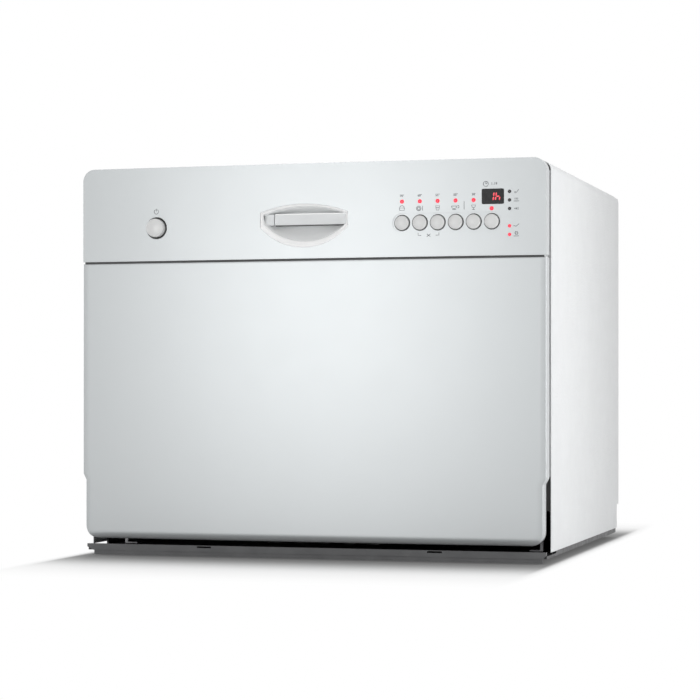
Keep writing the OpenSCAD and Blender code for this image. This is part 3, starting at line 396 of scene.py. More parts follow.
def rear_plastic():
    return finish(
        "rear_moulding",
        (0.74, 0.745, 0.74),
        0.5,
        tones=(0.08, 0.02),
        polish=0.06,
        relief=(("grain", 0.0012, 0.00004), ("cells", 0.0007, 0.00002)),
    )


def gray_plastic():
    return finish(
        "gray_moulding",
        (0.13, 0.132, 0.135),
        0.5,
        tones=(0.04, 0.06),
        polish=0.07,
        relief=(("grain", 0.001, 0.00003),),
    )


def dark_plastic():
    return finish(
        "dark_moulding",
        (0.035, 0.036, 0.038),
        0.45,
        tones=(0.03, 0.12),
        polish=0.08,
        relief=(("grain", 0.0008, 0.00003),),
    )


def pale_plastic():
    return finish(
        "pale_moulding",
        (0.62, 0.64, 0.65),
        0.4,
        tones=(0.03, 0.03),
        polish=0.06,
        relief=(("grain", 0.0009, 0.00002),),
    )


def mid_plastic():
    return finish(
        "mid_moulding",
        (0.3, 0.31, 0.32),
        0.42,
        tones=(0.03, 0.04),
        polish=0.06,
        relief=(("grain", 0.0009, 0.00002),),
    )


def blue_plastic():
    return finish(
        "blue_moulding",
        (0.04, 0.12, 0.42),
        0.35,
        tones=(0.02, 0.05),
        relief=(("grain", 0.0008, 0.00001),),
    )


def grip_satin():
    return finish(
        "grip_satin",
        (0.86, 0.88, 0.885),
        0.42,
        tones=(0.03, 0.02),
        polish=0.05,
        relief=(("grain", 0.0006, 0.000006),),
    )


# Painted light: a near-white satin for the handle's scoop, far lighter than the silver round
# it, so the recess reads lit in spite of its own shade
def recess_satin():
    return finish(
        "recess_satin",
        (0.97, 0.985, 0.99),
        0.45,
        tones=(0.03, 0.02),
        polish=0.05,
        relief=(("grain", 0.0007, 0.000008),),
    )


# Painted highlight: a white glow of 0.12 on the handle's lip and the grip's top edge, in place
# of the light they would catch
def lip_gloss():
    return finish(
        "lip_gloss",
        (0.95, 0.95, 0.95),
        0.2,
        tones=(0.03, 0.01),
        relief=(("grain", 0.0006, 0.000004),),
        coat=0.4,
        glow=((1, 1, 1), 0.12),
    )


def rubber():
    return finish(
        "dark_rubber",
        (0.028, 0.028, 0.03),
        0.62,
        tones=(0.02, 0.15),
        polish=0.1,
        relief=(("grain", 0.0006, 0.00003), ("cells", 0.003, 0.00003)),
    )


def tub_steel():
    return finish(
        "tub_steel",
        (0.6, 0.605, 0.61),
        0.3,
        metal=1.0,
        tones=(0.12, 0.05),
        polish=0.08,
        stretch=(1, 14, 14),
        relief=(("grain", 0.006, 0.000012),),
    )


def dark_steel():
    return finish(
        "dark_steel",
        (0.2, 0.2, 0.21),
        0.38,
        metal=0.9,
        tones=(0.02, 0.15),
        polish=0.1,
        relief=(("grain", 0.0012, 0.00002),),
    )


def zinc():
    return finish(
        "zinc_plate",
        (0.55, 0.56, 0.57),
        0.36,
        metal=1.0,
        tones=(0.012, 0.12),
        polish=0.1,
        relief=(("cells", 0.006, 0.00001),),
    )


def coated_wire():
    return finish(
        "coated_wire",
        (0.56, 0.58, 0.59),
        0.36,
        tones=(0.02, 0.03),
        polish=0.05,
        relief=(("grain", 0.0022, 0.00005),),
        coat=0.2,
    )


def felt():
    return finish(
        "felt",
        (0.06, 0.058, 0.055),
        0.95,
        tones=(0.01, 0.3),
        polish=0.04,
        relief=(("grain", 0.0015, 0.0008), ("cells", 0.004, 0.0006)),
    )


def board():
    return finish(
        "green_board",
        (0.02, 0.16, 0.06),
        0.38,
        tones=(0.004, 0.25),
        polish=0.08,
        relief=(("cells", 0.004, 0.00006),),
    )


def black_glass():
    return finish(
        "black_glass",
        (0.004, 0.004, 0.005),
        0.22,
        tones=(0.01, 0.1),
        polish=0.03,
        relief=(("grain", 0.006, 0.000004),),
        gloss=0.15,
    )


def red_glow():
    c = looks()
    return finish(
        "lit_lamp",
        (0.75, 0.03, 0.06),
        0.25,
        tones=(0.002, 0.08),
        polish=0.05,
        relief=(("cells", 0.0012, 0.00004),),
        glow=(c.lamp_colour, c.lamp_glow),
    )


def dark_lens():
    return finish(
        "unlit_lamp",
        (0.02, 0.018, 0.02),
        0.2,
        tones=(0.002, 0.1),
        relief=(("cells", 0.0012, 0.00002),),
    )


def ink():
    return finish(
        "printed_ink",
        (0.03, 0.031, 0.036),
        0.5,
        tones=(0.001, 0.1),
        relief=(("grain", 0.0004, 0.000004),),
    )


FINISH_OF = {
    "silver_front": silver_lacquer,
    "white_steel": white_paint,
    "rear_plastic": rear_plastic,
    "gray_plastic": gray_plastic,
    "dark_plastic": dark_plastic,
    "dark_rubber": rubber,
    "pale_plastic": pale_plastic,
    "mid_plastic": mid_plastic,
    "white_plastic": white_plastic,
    "blue_plastic": blue_plastic,
    "tub_steel": tub_steel,
    "dark_steel": dark_steel,
    "zinc_steel": zinc,
    "felt": felt,
    "board_green": board,
    "black_window": black_glass,
    "red_lamp": red_glow,
    "button_white": white_plastic,
    "rack_coating": coated_wire,
}


# ---------------------------------------------------------------- pieces


def settle(name, mesh, body, slot, look=None, nodes=()):
    """A finished piece at the origin, riding on its body and standing for its CAD nodes."""
    piece = bpy.data.objects.new(name, mesh)
    bpy.context.scene.collection.objects.link(piece)
    mesh.materials.clear()
    mesh.materials.append(look or FINISH_OF[slot]())
    if nodes:
        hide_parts(*nodes)
    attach(piece, body)
    return piece


def softened(name, mesh, edge, segments=2, angle=30.0):
    """A mesh with its sharp edges rounded and even normals over its flats."""
    holder = bpy.data.objects.new(name, mesh)
    bpy.context.scene.collection.objects.link(holder)
    for polygon in mesh.polygons:
        polygon.use_smooth = True
    bevel = holder.modifiers.new("edges", "BEVEL")
    bevel.width = edge / 1000
    bevel.segments = segments
    bevel.limit_method = "ANGLE"
    bevel.angle_limit = math.radians(angle)
    bevel.miter_outer = "MITER_ARC"
    bevel.use_clamp_overlap = True
    weighted = holder.modifiers.new("normals", "WEIGHTED_NORMAL")
    weighted.keep_sharp = True
    weighted.weight = 60
    made = bpy.data.meshes.new_from_object(
        holder.evaluated_get(bpy.context.evaluated_depsgraph_get())
    )
    made.name = name
    bpy.data.objects.remove(holder)
    return made


def crisped(bm, sharp):
    """Marks the edges that fold by more than sharp degrees as sharp, and the rest as smooth."""
    for edge in bm.edges:
        if len(edge.link_faces) == 2:
            edge.smooth = edge.calc_face_angle(0) < math.radians(sharp)


def merged(node):
    """A copy of a CAD node's mesh with its triangles joined into clean faces."""
    mesh = frame["nodes"][node].data.copy()
    bm = bmesh.new()
    bm.from_mesh(mesh)
    bmesh.ops.remove_doubles(bm, verts=bm.verts, dist=2e-6)
    bmesh.ops.dissolve_limit(
        bm, angle_limit=math.radians(0.05), verts=bm.verts, edges=bm.edges
    )
    crisped(bm, 40)
    bm.to_mesh(mesh)
    bm.free()
    return mesh


def dress(node, edge, look=None, segments=2, angle=30.0):
    """The CAD node's own form with eased edges and its finish."""
    name = node + "_made"
    mesh = softened(name, merged(node), edge, segments, angle)
    return settle(name, mesh, BODY_OF[node], SLOT_OF[node], look, nodes=(node,))


def spun(bm, profile, corner, steps):
    """Adds a body turned from (along, radius) pairs, placed by corner(along, radius, angle)."""
    rings = [
        [
            bm.verts.new(corner(along, radius, 2 * math.pi * k / steps))
            for k in range(steps if radius > 0 else 1)
        ]
        for along, radius in profile
    ]
    for near, far in zip(rings, rings[1:]):
        for k in range(steps):
            m = (k + 1) % steps
            loop = [near[k % len(near)], near[m % len(near)]]
            loop += [far[m % len(far)], far[k % len(far)]]
            loop = [v for i, v in enumerate(loop) if v not in loop[:i]]
            if len(loop) > 2:
                bm.faces.new(loop)


def lathe(profile, x, z, steps=56):
    """A body turned about the level axis through (x, z); profile is (depth, radius) pairs."""
    bm = bmesh.new()

    def corner(depth, radius, angle):
        return at(x + radius * math.cos(angle), depth, z + radius * math.sin(angle))

    spun(bm, profile, corner, steps)
    bmesh.ops.recalc_face_normals(bm, faces=bm.faces)
    for face in bm.faces:
        face.smooth = True
    crisped(bm, 50)
    mesh = bpy.data.meshes.new("turned")
    bm.to_mesh(mesh)
    bm.free()
    return mesh


def joined(name, meshes):
    """Several meshes as one."""
    bm = bmesh.new()
    for mesh in meshes:
        bm.from_mesh(mesh)
    whole = bpy.data.meshes.new(name)
    bm.to_mesh(whole)
    bm.free()
    return whole


def lines(paths):
    """A mesh of open or closed lines; a path that ends where it starts is a ring."""
    bm = bmesh.new()
    for path in paths:
        closed = (Vector(path[0]) - Vector(path[-1])).length < 1e-9
        verts = [bm.verts.new(p) for p in (path[:-1] if closed else path)]
        for a, b in zip(verts, verts[1:]):
            bm.edges.new((a, b))
        if closed:
            bm.edges.new((verts[-1], verts[0]))
    mesh = bpy.data.meshes.new("lines")
    bm.to_mesh(mesh)
    bm.free()
    return mesh


def placed(paths):
    """Paths of (width, depth, height) corners as points in metres."""
    return [[at(*corner) for corner in path] for path in paths]


def wires(name, paths, gauge, bend, look, sides=10):
    """Round wires along paths given in metres."""
    return grown(
        name,
        lines(paths),
        wire_tree(),
        Gauge=gauge / 1000,
        Bend=bend / 1000,
        Sides=sides,
        Finish=look,
    )


def screws(name, body, places, head=3.5, tall=1.6):
    """Screw heads at places: grown upright in a spaced row, then each moved and faced back."""
    points = [at(*place) for place in places]
    apart = 0.1
    row = bpy.data.meshes.new(name + "_row")
    row.from_pydata([(i * apart, 0, 0) for i in range(len(points))], [], [])
    made = grown(name, row, screw_tree(), Head=head / 1000, Tall=tall / 1000, Finish=zinc())
    turn = Vector((0, 0, 1)).rotation_difference(Vector((0, 1, 0))).to_matrix()
    for v in made.vertices:
        i = min(max(round(v.co.x / apart), 0), len(points) - 1)
        v.co = turn @ (v.co - Vector((i * apart, 0, 0))) + points[i]
    for polygon in made.polygons:
        polygon.use_smooth = False
    made.update()
    return settle(name, made, body, "zinc_steel")


def sheet(rows, closed=False):
    """A smooth surface through rows of points; closed joins each row's ends."""
    bm = bmesh.new()
    made = [[bm.verts.new(p) for p in row] for row in rows]
    for low, high in zip(made, made[1:]):
        count = len(low)
        for k in range(count if closed else count - 1):
            m = (k + 1) % count
            bm.faces.new((low[k], low[m], high[m], high[k]))
    mesh = bpy.data.meshes.new("sheet")
    for face in bm.faces:
        face.smooth = True
    bm.to_mesh(mesh)
    bm.free()
    return mesh


def thick(mesh, wall):
    """A sheet given a wall of the stated thickness on its back, with crisp folds."""
    holder = bpy.data.objects.new(mesh.name, mesh)
    bpy.context.scene.collection.objects.link(holder)
    solid = holder.modifiers.new("wall", "SOLIDIFY")
    solid.thickness = wall / 1000
    solid.offset = -1
    made = bpy.data.meshes.new_from_object(
        holder.evaluated_get(bpy.context.evaluated_depsgraph_get())
    )
    bpy.data.objects.remove(holder)
    bm = bmesh.new()
    bm.from_mesh(made)
    crisped(bm, 35)
    bm.to_mesh(made)
    bm.free()
    return made


def slab(x0, d0, z0, x1, d1, z1):
    """A plain block between two corners."""
    bm = bmesh.new()
    bmesh.ops.create_cube(bm, size=1)
    near, far = at(x0, d0, z0), at(x1, d1, z1)
    for v in bm.verts:
        v.co = [(a + b) / 2 + c * (b - a) for a, b, c in zip(near, far, v.co)]
    mesh = bpy.data.meshes.new("slab")
    bm.to_mesh(mesh)
    bm.free()
    return mesh


def on_face(x, z, lift=0.0):
    """A point on the bowed front, raised by lift."""
    return at(x, face_d(x) - lift, z)


def raised_print(name, mesh):
    """A flat drawing in X and Z, in metres, made a thin print that follows the bow."""
    bm = bmesh.new()
    bm.from_mesh(mesh)
    bmesh.ops.remove_doubles(bm, verts=bm.verts, dist=1e-6)
    bottom = bm.faces[:]
    made = bmesh.ops.extrude_face_region(bm, geom=bottom)
    top = {v for v in made["geom"] if isinstance(v, bmesh.types.BMVert)}
    for v in bm.verts:
        x = v.co.x * 1000
        v.co.y = on_face(x, 0, 0.06 if v in top else -0.05).y
    bmesh.ops.recalc_face_normals(bm, faces=bm.faces)
    whole = bpy.data.meshes.new(name)
    bm.to_mesh(whole)
    bm.free()
    return whole


def digits(text, x, z, size):
    """Plain numerals centred on (x, z) as a flat drawing in X and Z."""
    curve = bpy.data.curves.new("digits", "FONT")
    curve.body = text
    curve.size = size / 1000
    curve.align_x = "CENTER"
    curve.align_y = "CENTER"
    curve.resolution_u = 3
    curve.offset = 0.00004
    holder = bpy.data.objects.new("digits", curve)
    bpy.context.scene.collection.objects.link(holder)
    mesh = bpy.data.meshes.new_from_object(
        holder.evaluated_get(bpy.context.evaluated_depsgraph_get())
    )
    bpy.data.objects.remove(holder)
    for v in mesh.vertices:
        v.co = (v.co.x + x / 1000, 0, v.co.y + z / 1000)
    return mesh


# ---------------------------------------------------------------- settings


class DishwasherLooks(bpy.types.PropertyGroup):
    """Colours and sizes that a user would change."""

    front_colour: bpy.props.FloatVectorProperty(
        name="Front colour",
        description="Lacquer of the door and the control fascia",
        subtype="COLOR",
        size=3,
        min=0,
        max=1,
        default=(0.5, 0.522, 0.53),
    )
    front_polish: bpy.props.FloatProperty(
        name="Front roughness",
        description="How blurred the lacquer's reflections are",
        min=0.05,
        max=1,
        default=0.33,
    )
    side_colour: bpy.props.FloatVectorProperty(
        name="Side colour",
        description="Paint of the steel wrap",
        subtype="COLOR",
        size=3,
        min=0,
        max=1,
        default=(0.7, 0.712, 0.72),
    )
    lamp_colour: bpy.props.FloatVectorProperty(
        name="Lamp colour",
        description="Light of the lit lamps and the display",
        subtype="COLOR",
        size=3,
        min=0,
        max=1,
        default=(0.9, 0.03, 0.06),
    )
    lamp_glow: bpy.props.FloatProperty(
        name="Lamp glow",
        description="Strength of the lamps' light",
        min=0,
        max=10,
        default=0.7,
    )
    wire_gauge: bpy.props.FloatProperty(
        name="Wire radius",
        description="Radius of the rack's light wires",
        subtype="DISTANCE",
        unit="LENGTH",
        min=0.0008,
        max=0.003,
        default=0.0015,
    )
    camera_lens: bpy.props.FloatProperty(
        name="Lens",
        description="Focal length on a 36 mm sensor",
        subtype="DISTANCE_CAMERA",
        min=30,
        max=300,
        default=113.995,
    )


class MakesPiece:
    """What the operators share."""

    bl_options = {"REGISTER", "UNDO"}


# ---------------------------------------------------------------- door front


FOOT_R = 15.0
FOOT_HALF = 269.0
SIDE_STEP, SIDE_STEP_Z, SIDE_STEP_TALL = 3.5, 88, 7
SKIN_EDGE_R, SKIN_FOOT_R, SKIN_TOP_R = 1.5, 8, 1.0
SKIN_FOLD_D, SKIN_FOOT_D = 17, 13.7


def skin_half(z):
    """Half the width of the door skin at height z: a rounded foot, then a small step out."""
    below = SKIN_LOW + FOOT_R - z
    if below > 0:
        return FOOT_HALF - FOOT_R + math.sqrt(max(FOOT_R**2 - below**2, 0))
    return FOOT_HALF + SIDE_STEP * min(max((z - SIDE_STEP_Z) / SIDE_STEP_TALL, 0), 1)


def roll(inset, radius):
    """How far a rounded edge falls back at a distance in from it."""
    reach = min(max(radius - inset, 0), radius)
    return radius - math.sqrt(radius * radius - reach * reach)


class DISHWASHER_OT_door_skin(MakesPiece, bpy.types.Operator):
    """Bowed steel skin below the seam, folded back at its edges"""

    bl_idname = "dishwasher.door_skin"
    bl_label = "Door skin"

    def execute(self, context):
        bends = [SKIN_FOOT_R * (1 - math.cos(math.radians(9 * k))) for k in range(11)]
        levels = [SKIN_LOW + b for b in bends]
        levels += [30, 32, 34, 35.5, 45, 60, 75, 87.9, 88, 89, 91, 93, 95, 96.5]
        levels += [110 + 25 * k for k in range(9)]
        levels += [330, 335, 336.6, 337.1, 337.4, 337.59]
        flank = [SKIN_EDGE_R * math.cos(math.radians(75 - 15 * k)) for k in range(6)]
        rows = []
        for z in levels:
            half = skin_half(z)
            flat = half - SKIN_EDGE_R
            across = [i / 48 * flat for i in range(49)] + [flat + f for f in flank]
            fold = roll(z - SKIN_LOW, SKIN_FOOT_R) + roll(SKIN_HIGH - z, SKIN_TOP_R)
            row = []
            for x in [-a for a in across[:0:-1]] + across:
                back = max(fold, roll(half - abs(x), SKIN_EDGE_R))
                row.append(at(x, face_d(x) + back, z))
            side = row[0].copy(), row[-1].copy()
            for end in side:
                end.y = at(0, SKIN_FOOT_D if z < 25 else SKIN_FOLD_D, 0).y
            rows.append([side[0], *row, side[1]])
        foot = [p.copy() for p in rows[0]]
        for p in foot:
            p.y = at(0, SKIN_FOOT_D, 0).y
        mesh = thick(sheet([foot, *rows]), 1.2)
        lips = [slab(s * 262, 15.8, 96, s * 271.9, 17, 337.2) for s in (-1, 1)]
        settle(
            "door_skin_sheet",
            joined("door_skin_sheet", [mesh, *lips]),
            "door",
            "silver_front",
            nodes=("door_skin",),
        )
        # Dark strips behind the seam, along the door's sides and over its top: painted shade
        # for the dark gaps
        strip = [
            [at(x, face_d(x) + 0.95, z) for x in range(-270, 271, 9)]
            for z in (SKIN_HIGH + 0.15, FASCIA_LOW - 0.15)
        ]
        edges = [slab(s * 264.05, 17.2, 84, s * 266.6, 25.8, 440) for s in (-1, 1)]
        edges.append(slab(-262, 17.2, 440.1, 262, 25.8, 442.4))
        settle(
            "door_seals",
            joined("door_seals", [thick(sheet(strip), 0.4), *edges]),
            "door",
            "dark_rubber",
        )
        return {"FINISHED"}


class DISHWASHER_OT_fascia(MakesPiece, bpy.types.Operator):
    """Control fascia with its openings, button groove and seam"""

    bl_idname = "dishwasher.fascia"
    bl_label = "Control fascia"

    def execute(self, context):
        dress("control_fascia", 0.7, segments=3, angle=50)
        return {"FINISHED"}


def handle_low(x, inner):
    """Height of the opening's lower bow at width x, moved in by inner."""
    across = min(abs(x - HANDLE_X), HANDLE_HALF + 0.1)
    return 421.65 - math.sqrt(69.15**2 - across * across) + inner


def handle_high(x, inner):
    """Height of the opening's upper bow at width x, moved in by inner."""
    across = min(abs(x - HANDLE_X), HANDLE_HALF + 0.1)
    return 257.2 + math.sqrt(144.3**2 - across * across) - inner


def handle_widths(half, count):
    """Widths across the handle, closer together towards its ends."""
    turns = [math.radians(-90 + 180 * k / count) for k in range(count + 1)]
    return [HANDLE_X + half * math.sin(turn) for turn in turns]


def handle_ring(side, low, high, depth):
    """The handle's outline moved in by the three amounts, at a depth behind the face."""
    across = handle_widths(HANDLE_HALF - side, 40)
    lower = [(x, handle_low(x, low)) for x in across]
    upper = [(x, handle_high(x, high)) for x in reversed(across)]

    def end(near, far):
        return [(near[0], near[1] + (far[1] - near[1]) * k / 6) for k in range(1, 6)]

    ring = lower + end(lower[-1], upper[0]) + upper + end(upper[-1], lower[0])
    return [at(x, face_d(x) + depth(z), z) for x, z in ring]


class DISHWASHER_OT_handle(MakesPiece, bpy.types.Operator):
    """Rolled lip, scooped recess and the grip in it"""

    bl_idname = "dishwasher.handle"
    bl_label = "Handle"

    def execute(self, context):
        turns = [math.radians(90 * k / 10) for k in range(11)]
        rings = [
            handle_ring(
                0.2 + 2.4 * math.sin(a),
                0.2 + 7.4 * math.sin(a),
                0.2 + 2.4 * math.sin(a),
                lambda z, a=a: 0.3 + (1 - math.cos(a)) * (6.5 if z < 385 else 4.5),
            )
            for a in turns
        ]
        # The rolled lip takes the glowing finish: a painted highlight
        settle("handle_lip", sheet(rings, True), "door", "white_plastic", lip_gloss())
        mouth_d, deepest, top_d, side_d = 7.5, 20.5, 4.8, 6
        deep_from, rise_from = 0.55, 0.82
        scoop = []
        for k in range(25):
            up = k / 24
            deep = mouth_d + (deepest - mouth_d) * math.sin(
                min(up / deep_from, 1) * math.pi / 2
            )
            if up > rise_from:
                rise = ((up - rise_from) / 0.18) ** 1.5
                deep = deepest - (deepest - top_d) * rise
            row = []
            for x in handle_widths(49.0, 48):
                low, high = handle_low(x, 7.5), handle_high(x, 2.5)
                edge = roll(49.2 - abs(x - HANDLE_X), 9) / 9
                back = deep * (1 - edge) + side_d * edge
                row.append(at(x, face_d(x) + back, low + (high - low) * up))
            scoop.append(row)
        # The scoop takes the near-white finish: painted light in place of the recess's shade
        settle(
            "handle_scoop",
            sheet(scoop),
            "door",
            SLOT_OF["handle_pocket"],
            recess_satin(),
            nodes=("handle_pocket",),
        )
        low, high = 378.5, 391
        cheek = slab(-54.4, 5, low, -41.7, 8.6, high)
        settle(
            "handle_cheek",
            softened("handle_cheek", cheek, 0.6, 3),
            "door",
            SLOT_OF["handle_pocket"],
            grip_satin(),
        )
        flap = slab(-41, 5, low, 47, 8.6, high)
        settle(
            "handle_grip",
            softened("handle_grip", flap, 0.9, 3),
            "handle_flap",
            SLOT_OF["handle_flap"],
            grip_satin(),
            nodes=("handle_flap",),
        )
        # A thin glowing strip along the grip's top edge: a painted highlight
        highlight_strip = slab(-40.4, 4.8, high - 0.7, 46.4, 6, high + 0.3)
        settle(
            "grip_bead",
            softened("grip_bead", highlight_strip, 0.3, 3),
            "handle_flap",
            SLOT_OF["handle_flap"],
            lip_gloss(),
        )
        # A dark strip under the grip's lower edge: painted shade for the gap's shadow
        settle(
            "grip_seal",
            slab(-40.4, 7.4, low - 1.2, 46.4, 8.5, low + 0.4),
            "handle_flap",
            "dark_rubber",
        )
        return {"FINISHED"}


def cap_profile(x, radius, out, back, round_r=1.5):
    """Profile of a domed cap: pole, dome, rounded rim, side and back."""
    front = face_d(x) - out
    dome = radius * 3.2
    reach = radius - round_r
    profile = [(front, 0)]
    for k in range(1, 9):
        r = reach * k / 8
        profile.append((front + dome - math.sqrt(dome * dome - r * r), r))
    rim = profile[-1][0]
    for k in range(1, 7):
        a = math.pi / 2 * k / 6
        profile.append((rim + round_r * (1 - math.cos(a)), reach + round_r * math.sin(a)))
    profile += [(back - 0.3, radius), (back, radius - 0.3), (back, 0)]
    return profile


class DISHWASHER_OT_buttons(MakesPiece, bpy.types.Operator):
    """Power button, six programme buttons and the dark rings round them that paint the shade in
    their gaps
    """

    bl_idname = "dishwasher.buttons"
    bl_label = "Buttons"

    def execute(self, context):
        cap = cap_profile(POWER_X, 10.5, 8.99, 9, 2.2)
        settle(
            "power_button_cap",
            lathe(cap, POWER_X, BUTTON_Z),
            "power_button",
            "button_white",
            nodes=("power_button",),
        )
        # Dark rubber rings in the gaps round the programme buttons: painted shade for the gaps'
        # shadow
        seals_and_gap_shades = []
        for i, x in enumerate(BUTTON_X, 1):
            node = "program_button_%d" % i
            cap = cap_profile(x, 8, 3.5, 1.6)[:-1] + [(1.6, 2), (5.2, 2), (5.2, 0)]
            mesh = lathe(cap, x, BUTTON_Z)
            settle(node + "_cap", mesh, node, "button_white", nodes=(node,))
            f = face_d(x) + 0.7
            ring = [(f + 2, 8.35), (f + 0.1, 8.35), (f - 0.25, 8.6), (f - 0.25, 8.95)]
            ring += [(f + 0.05, 9.15), (f + 0.05, 8.58), (f + 2, 8.58), (f + 2, 8.35)]
            seals_and_gap_shades.append(lathe(ring, x, BUTTON_Z))
        seals_and_gap_shades = joined("button_seals", seals_and_gap_shades)
        settle("button_seals", seals_and_gap_shades, "door", "dark_rubber")
        # A dark ring round the power button: painted shade for its gap's shadow
        f = face_d(POWER_X)
        ring = [(f + 3, 11.2), (f + 1.4, 11.2), (f + 0.6, 11.7), (f + 0.6, 12.68)]
        ring += [(f + 3, 12.68), (f + 3, 11.2)]
        power_gap_shade_ring = lathe(ring, POWER_X, BUTTON_Z)
        settle("power_seal", power_gap_shade_ring, "door", "dark_rubber")
        return {"FINISHED"}


def lens_profile(x, radius, proud, back):
    """Profile of a small domed lens."""
    f = face_d(x)
    profile = [(f - proud, 0)]
    for k in range(1, 6):
        a = math.pi / 2 * k / 5
        profile.append((f + 0.1 - (proud + 0.1) * math.cos(a), radius * math.sin(a)))
    return profile + [(back, radius), (back, 0)]


class DISHWASHER_OT_lamps(MakesPiece, bpy.types.Operator):
    """Programme lamps over the buttons and the column of status lamps"""

    bl_idname = "dishwasher.lamps"
    bl_label = "Lamps"

    def execute(self, context):
        lit = [
            lathe(lens_profile(x, 2.3, 0.45, 9), x, z, 32)
            for x, z in zip(BUTTON_X, LAMP_Z)
        ]
        settle(
            "program_lamp_lenses",
            joined("program_lamp_lenses", lit),
            "door",
            "red_lamp",
            nodes=("program_lamps",),
        )
        lens = lens_profile(STATUS_X, 1.9, 0.4, 9)
        dark = [lathe(lens, STATUS_X, z, 32) for z in STATUS_UNLIT_Z]
        red = [lathe(lens, STATUS_X, z, 32) for z in STATUS_LIT_Z]
        settle(
            "status_lenses_off",
            joined("status_lenses_off", dark),
            "door",
            SLOT_OF["status_lamps"],
            dark_lens(),
            nodes=("status_lamps",),
        )
        settle("status_lenses_lit", joined("status_lenses_lit", red), "door", "red_lamp")
        return {"FINISHED"}


SEGMENTS = {"1": "bc", "h": "cefg"}
FIGURE_WIDE, FIGURE_TALL, FIGURE_BAR, FIGURE_LEAN = 4.4, 9.2, 1.35, 0.14


def segment_figure(figure, x, z):
    """One figure of a segment display as flat bars in X and Z."""
    w, h, t = FIGURE_WIDE, FIGURE_TALL, FIGURE_BAR
    places = {
        "b": (w, h / 2, w, h),
        "c": (w, 0, w, h / 2),
        "e": (0, 0, 0, h / 2),
        "f": (0, h / 2, 0, h),
        "g": (0, h / 2, w, h / 2),
    }
    verts, faces = [], []
    for key in SEGMENTS[figure]:
        x0, z0, x1, z1 = places[key]
        u = Vector((x1 - x0, z1 - z0)).normalized()
        v = Vector((-u.y, u.x)) * t / 2
        a = Vector((x0, z0)) + u * 0.35
        b = Vector((x1, z1)) - u * 0.35
        loop = [a, a + u * t / 2 + v, b - u * t / 2 + v, b, b - u * t / 2 - v]
        loop.append(a + u * t / 2 - v)
        first = len(verts)
        for p in loop:
            across = x + p.x + (p.y - h / 2) * FIGURE_LEAN
            verts.append((across / 1000, 0, (z + p.y - h / 2) / 1000))
        faces.append([first + k for k in range(len(loop))])
    mesh = bpy.data.meshes.new("figure")
    mesh.from_pydata(verts, [], faces)
    return mesh


class DISHWASHER_OT_display(MakesPiece, bpy.types.Operator):
    """Black display window with two lit figures"""

    bl_idname = "dishwasher.display"
    bl_label = "Display"

    def execute(self, context):
        dress("display_window", 0.25)
        figures = joined(
            "figures",
            [
                segment_figure("1", DISPLAY_X - 3.6, DISPLAY_Z),
                segment_figure("h", DISPLAY_X + 3.4, DISPLAY_Z),
            ],
        )
        printed = raised_print("display_figures", figures)
        glass = face_d(DISPLAY_X) + 0.2
        for v in printed.vertices:
            raised = v.co.y < on_face(v.co.x * 1000, 0).y
            v.co.y = at(0, glass - 0.08 if raised else glass + 0.03, 0).y
        settle("display_figures", printed, "door", "red_lamp")
        dress("display_module", 0.3, black_glass())
        return {"FINISHED"}


def arc(x, z, r, a0, a1, count=14):
    """Points on an arc, angles in degrees."""
    return [
        (
            x + r * math.cos(math.radians(a0 + (a1 - a0) * k / count)),
            z + r * math.sin(math.radians(a0 + (a1 - a0) * k / count)),
        )
        for k in range(count + 1)
    ]


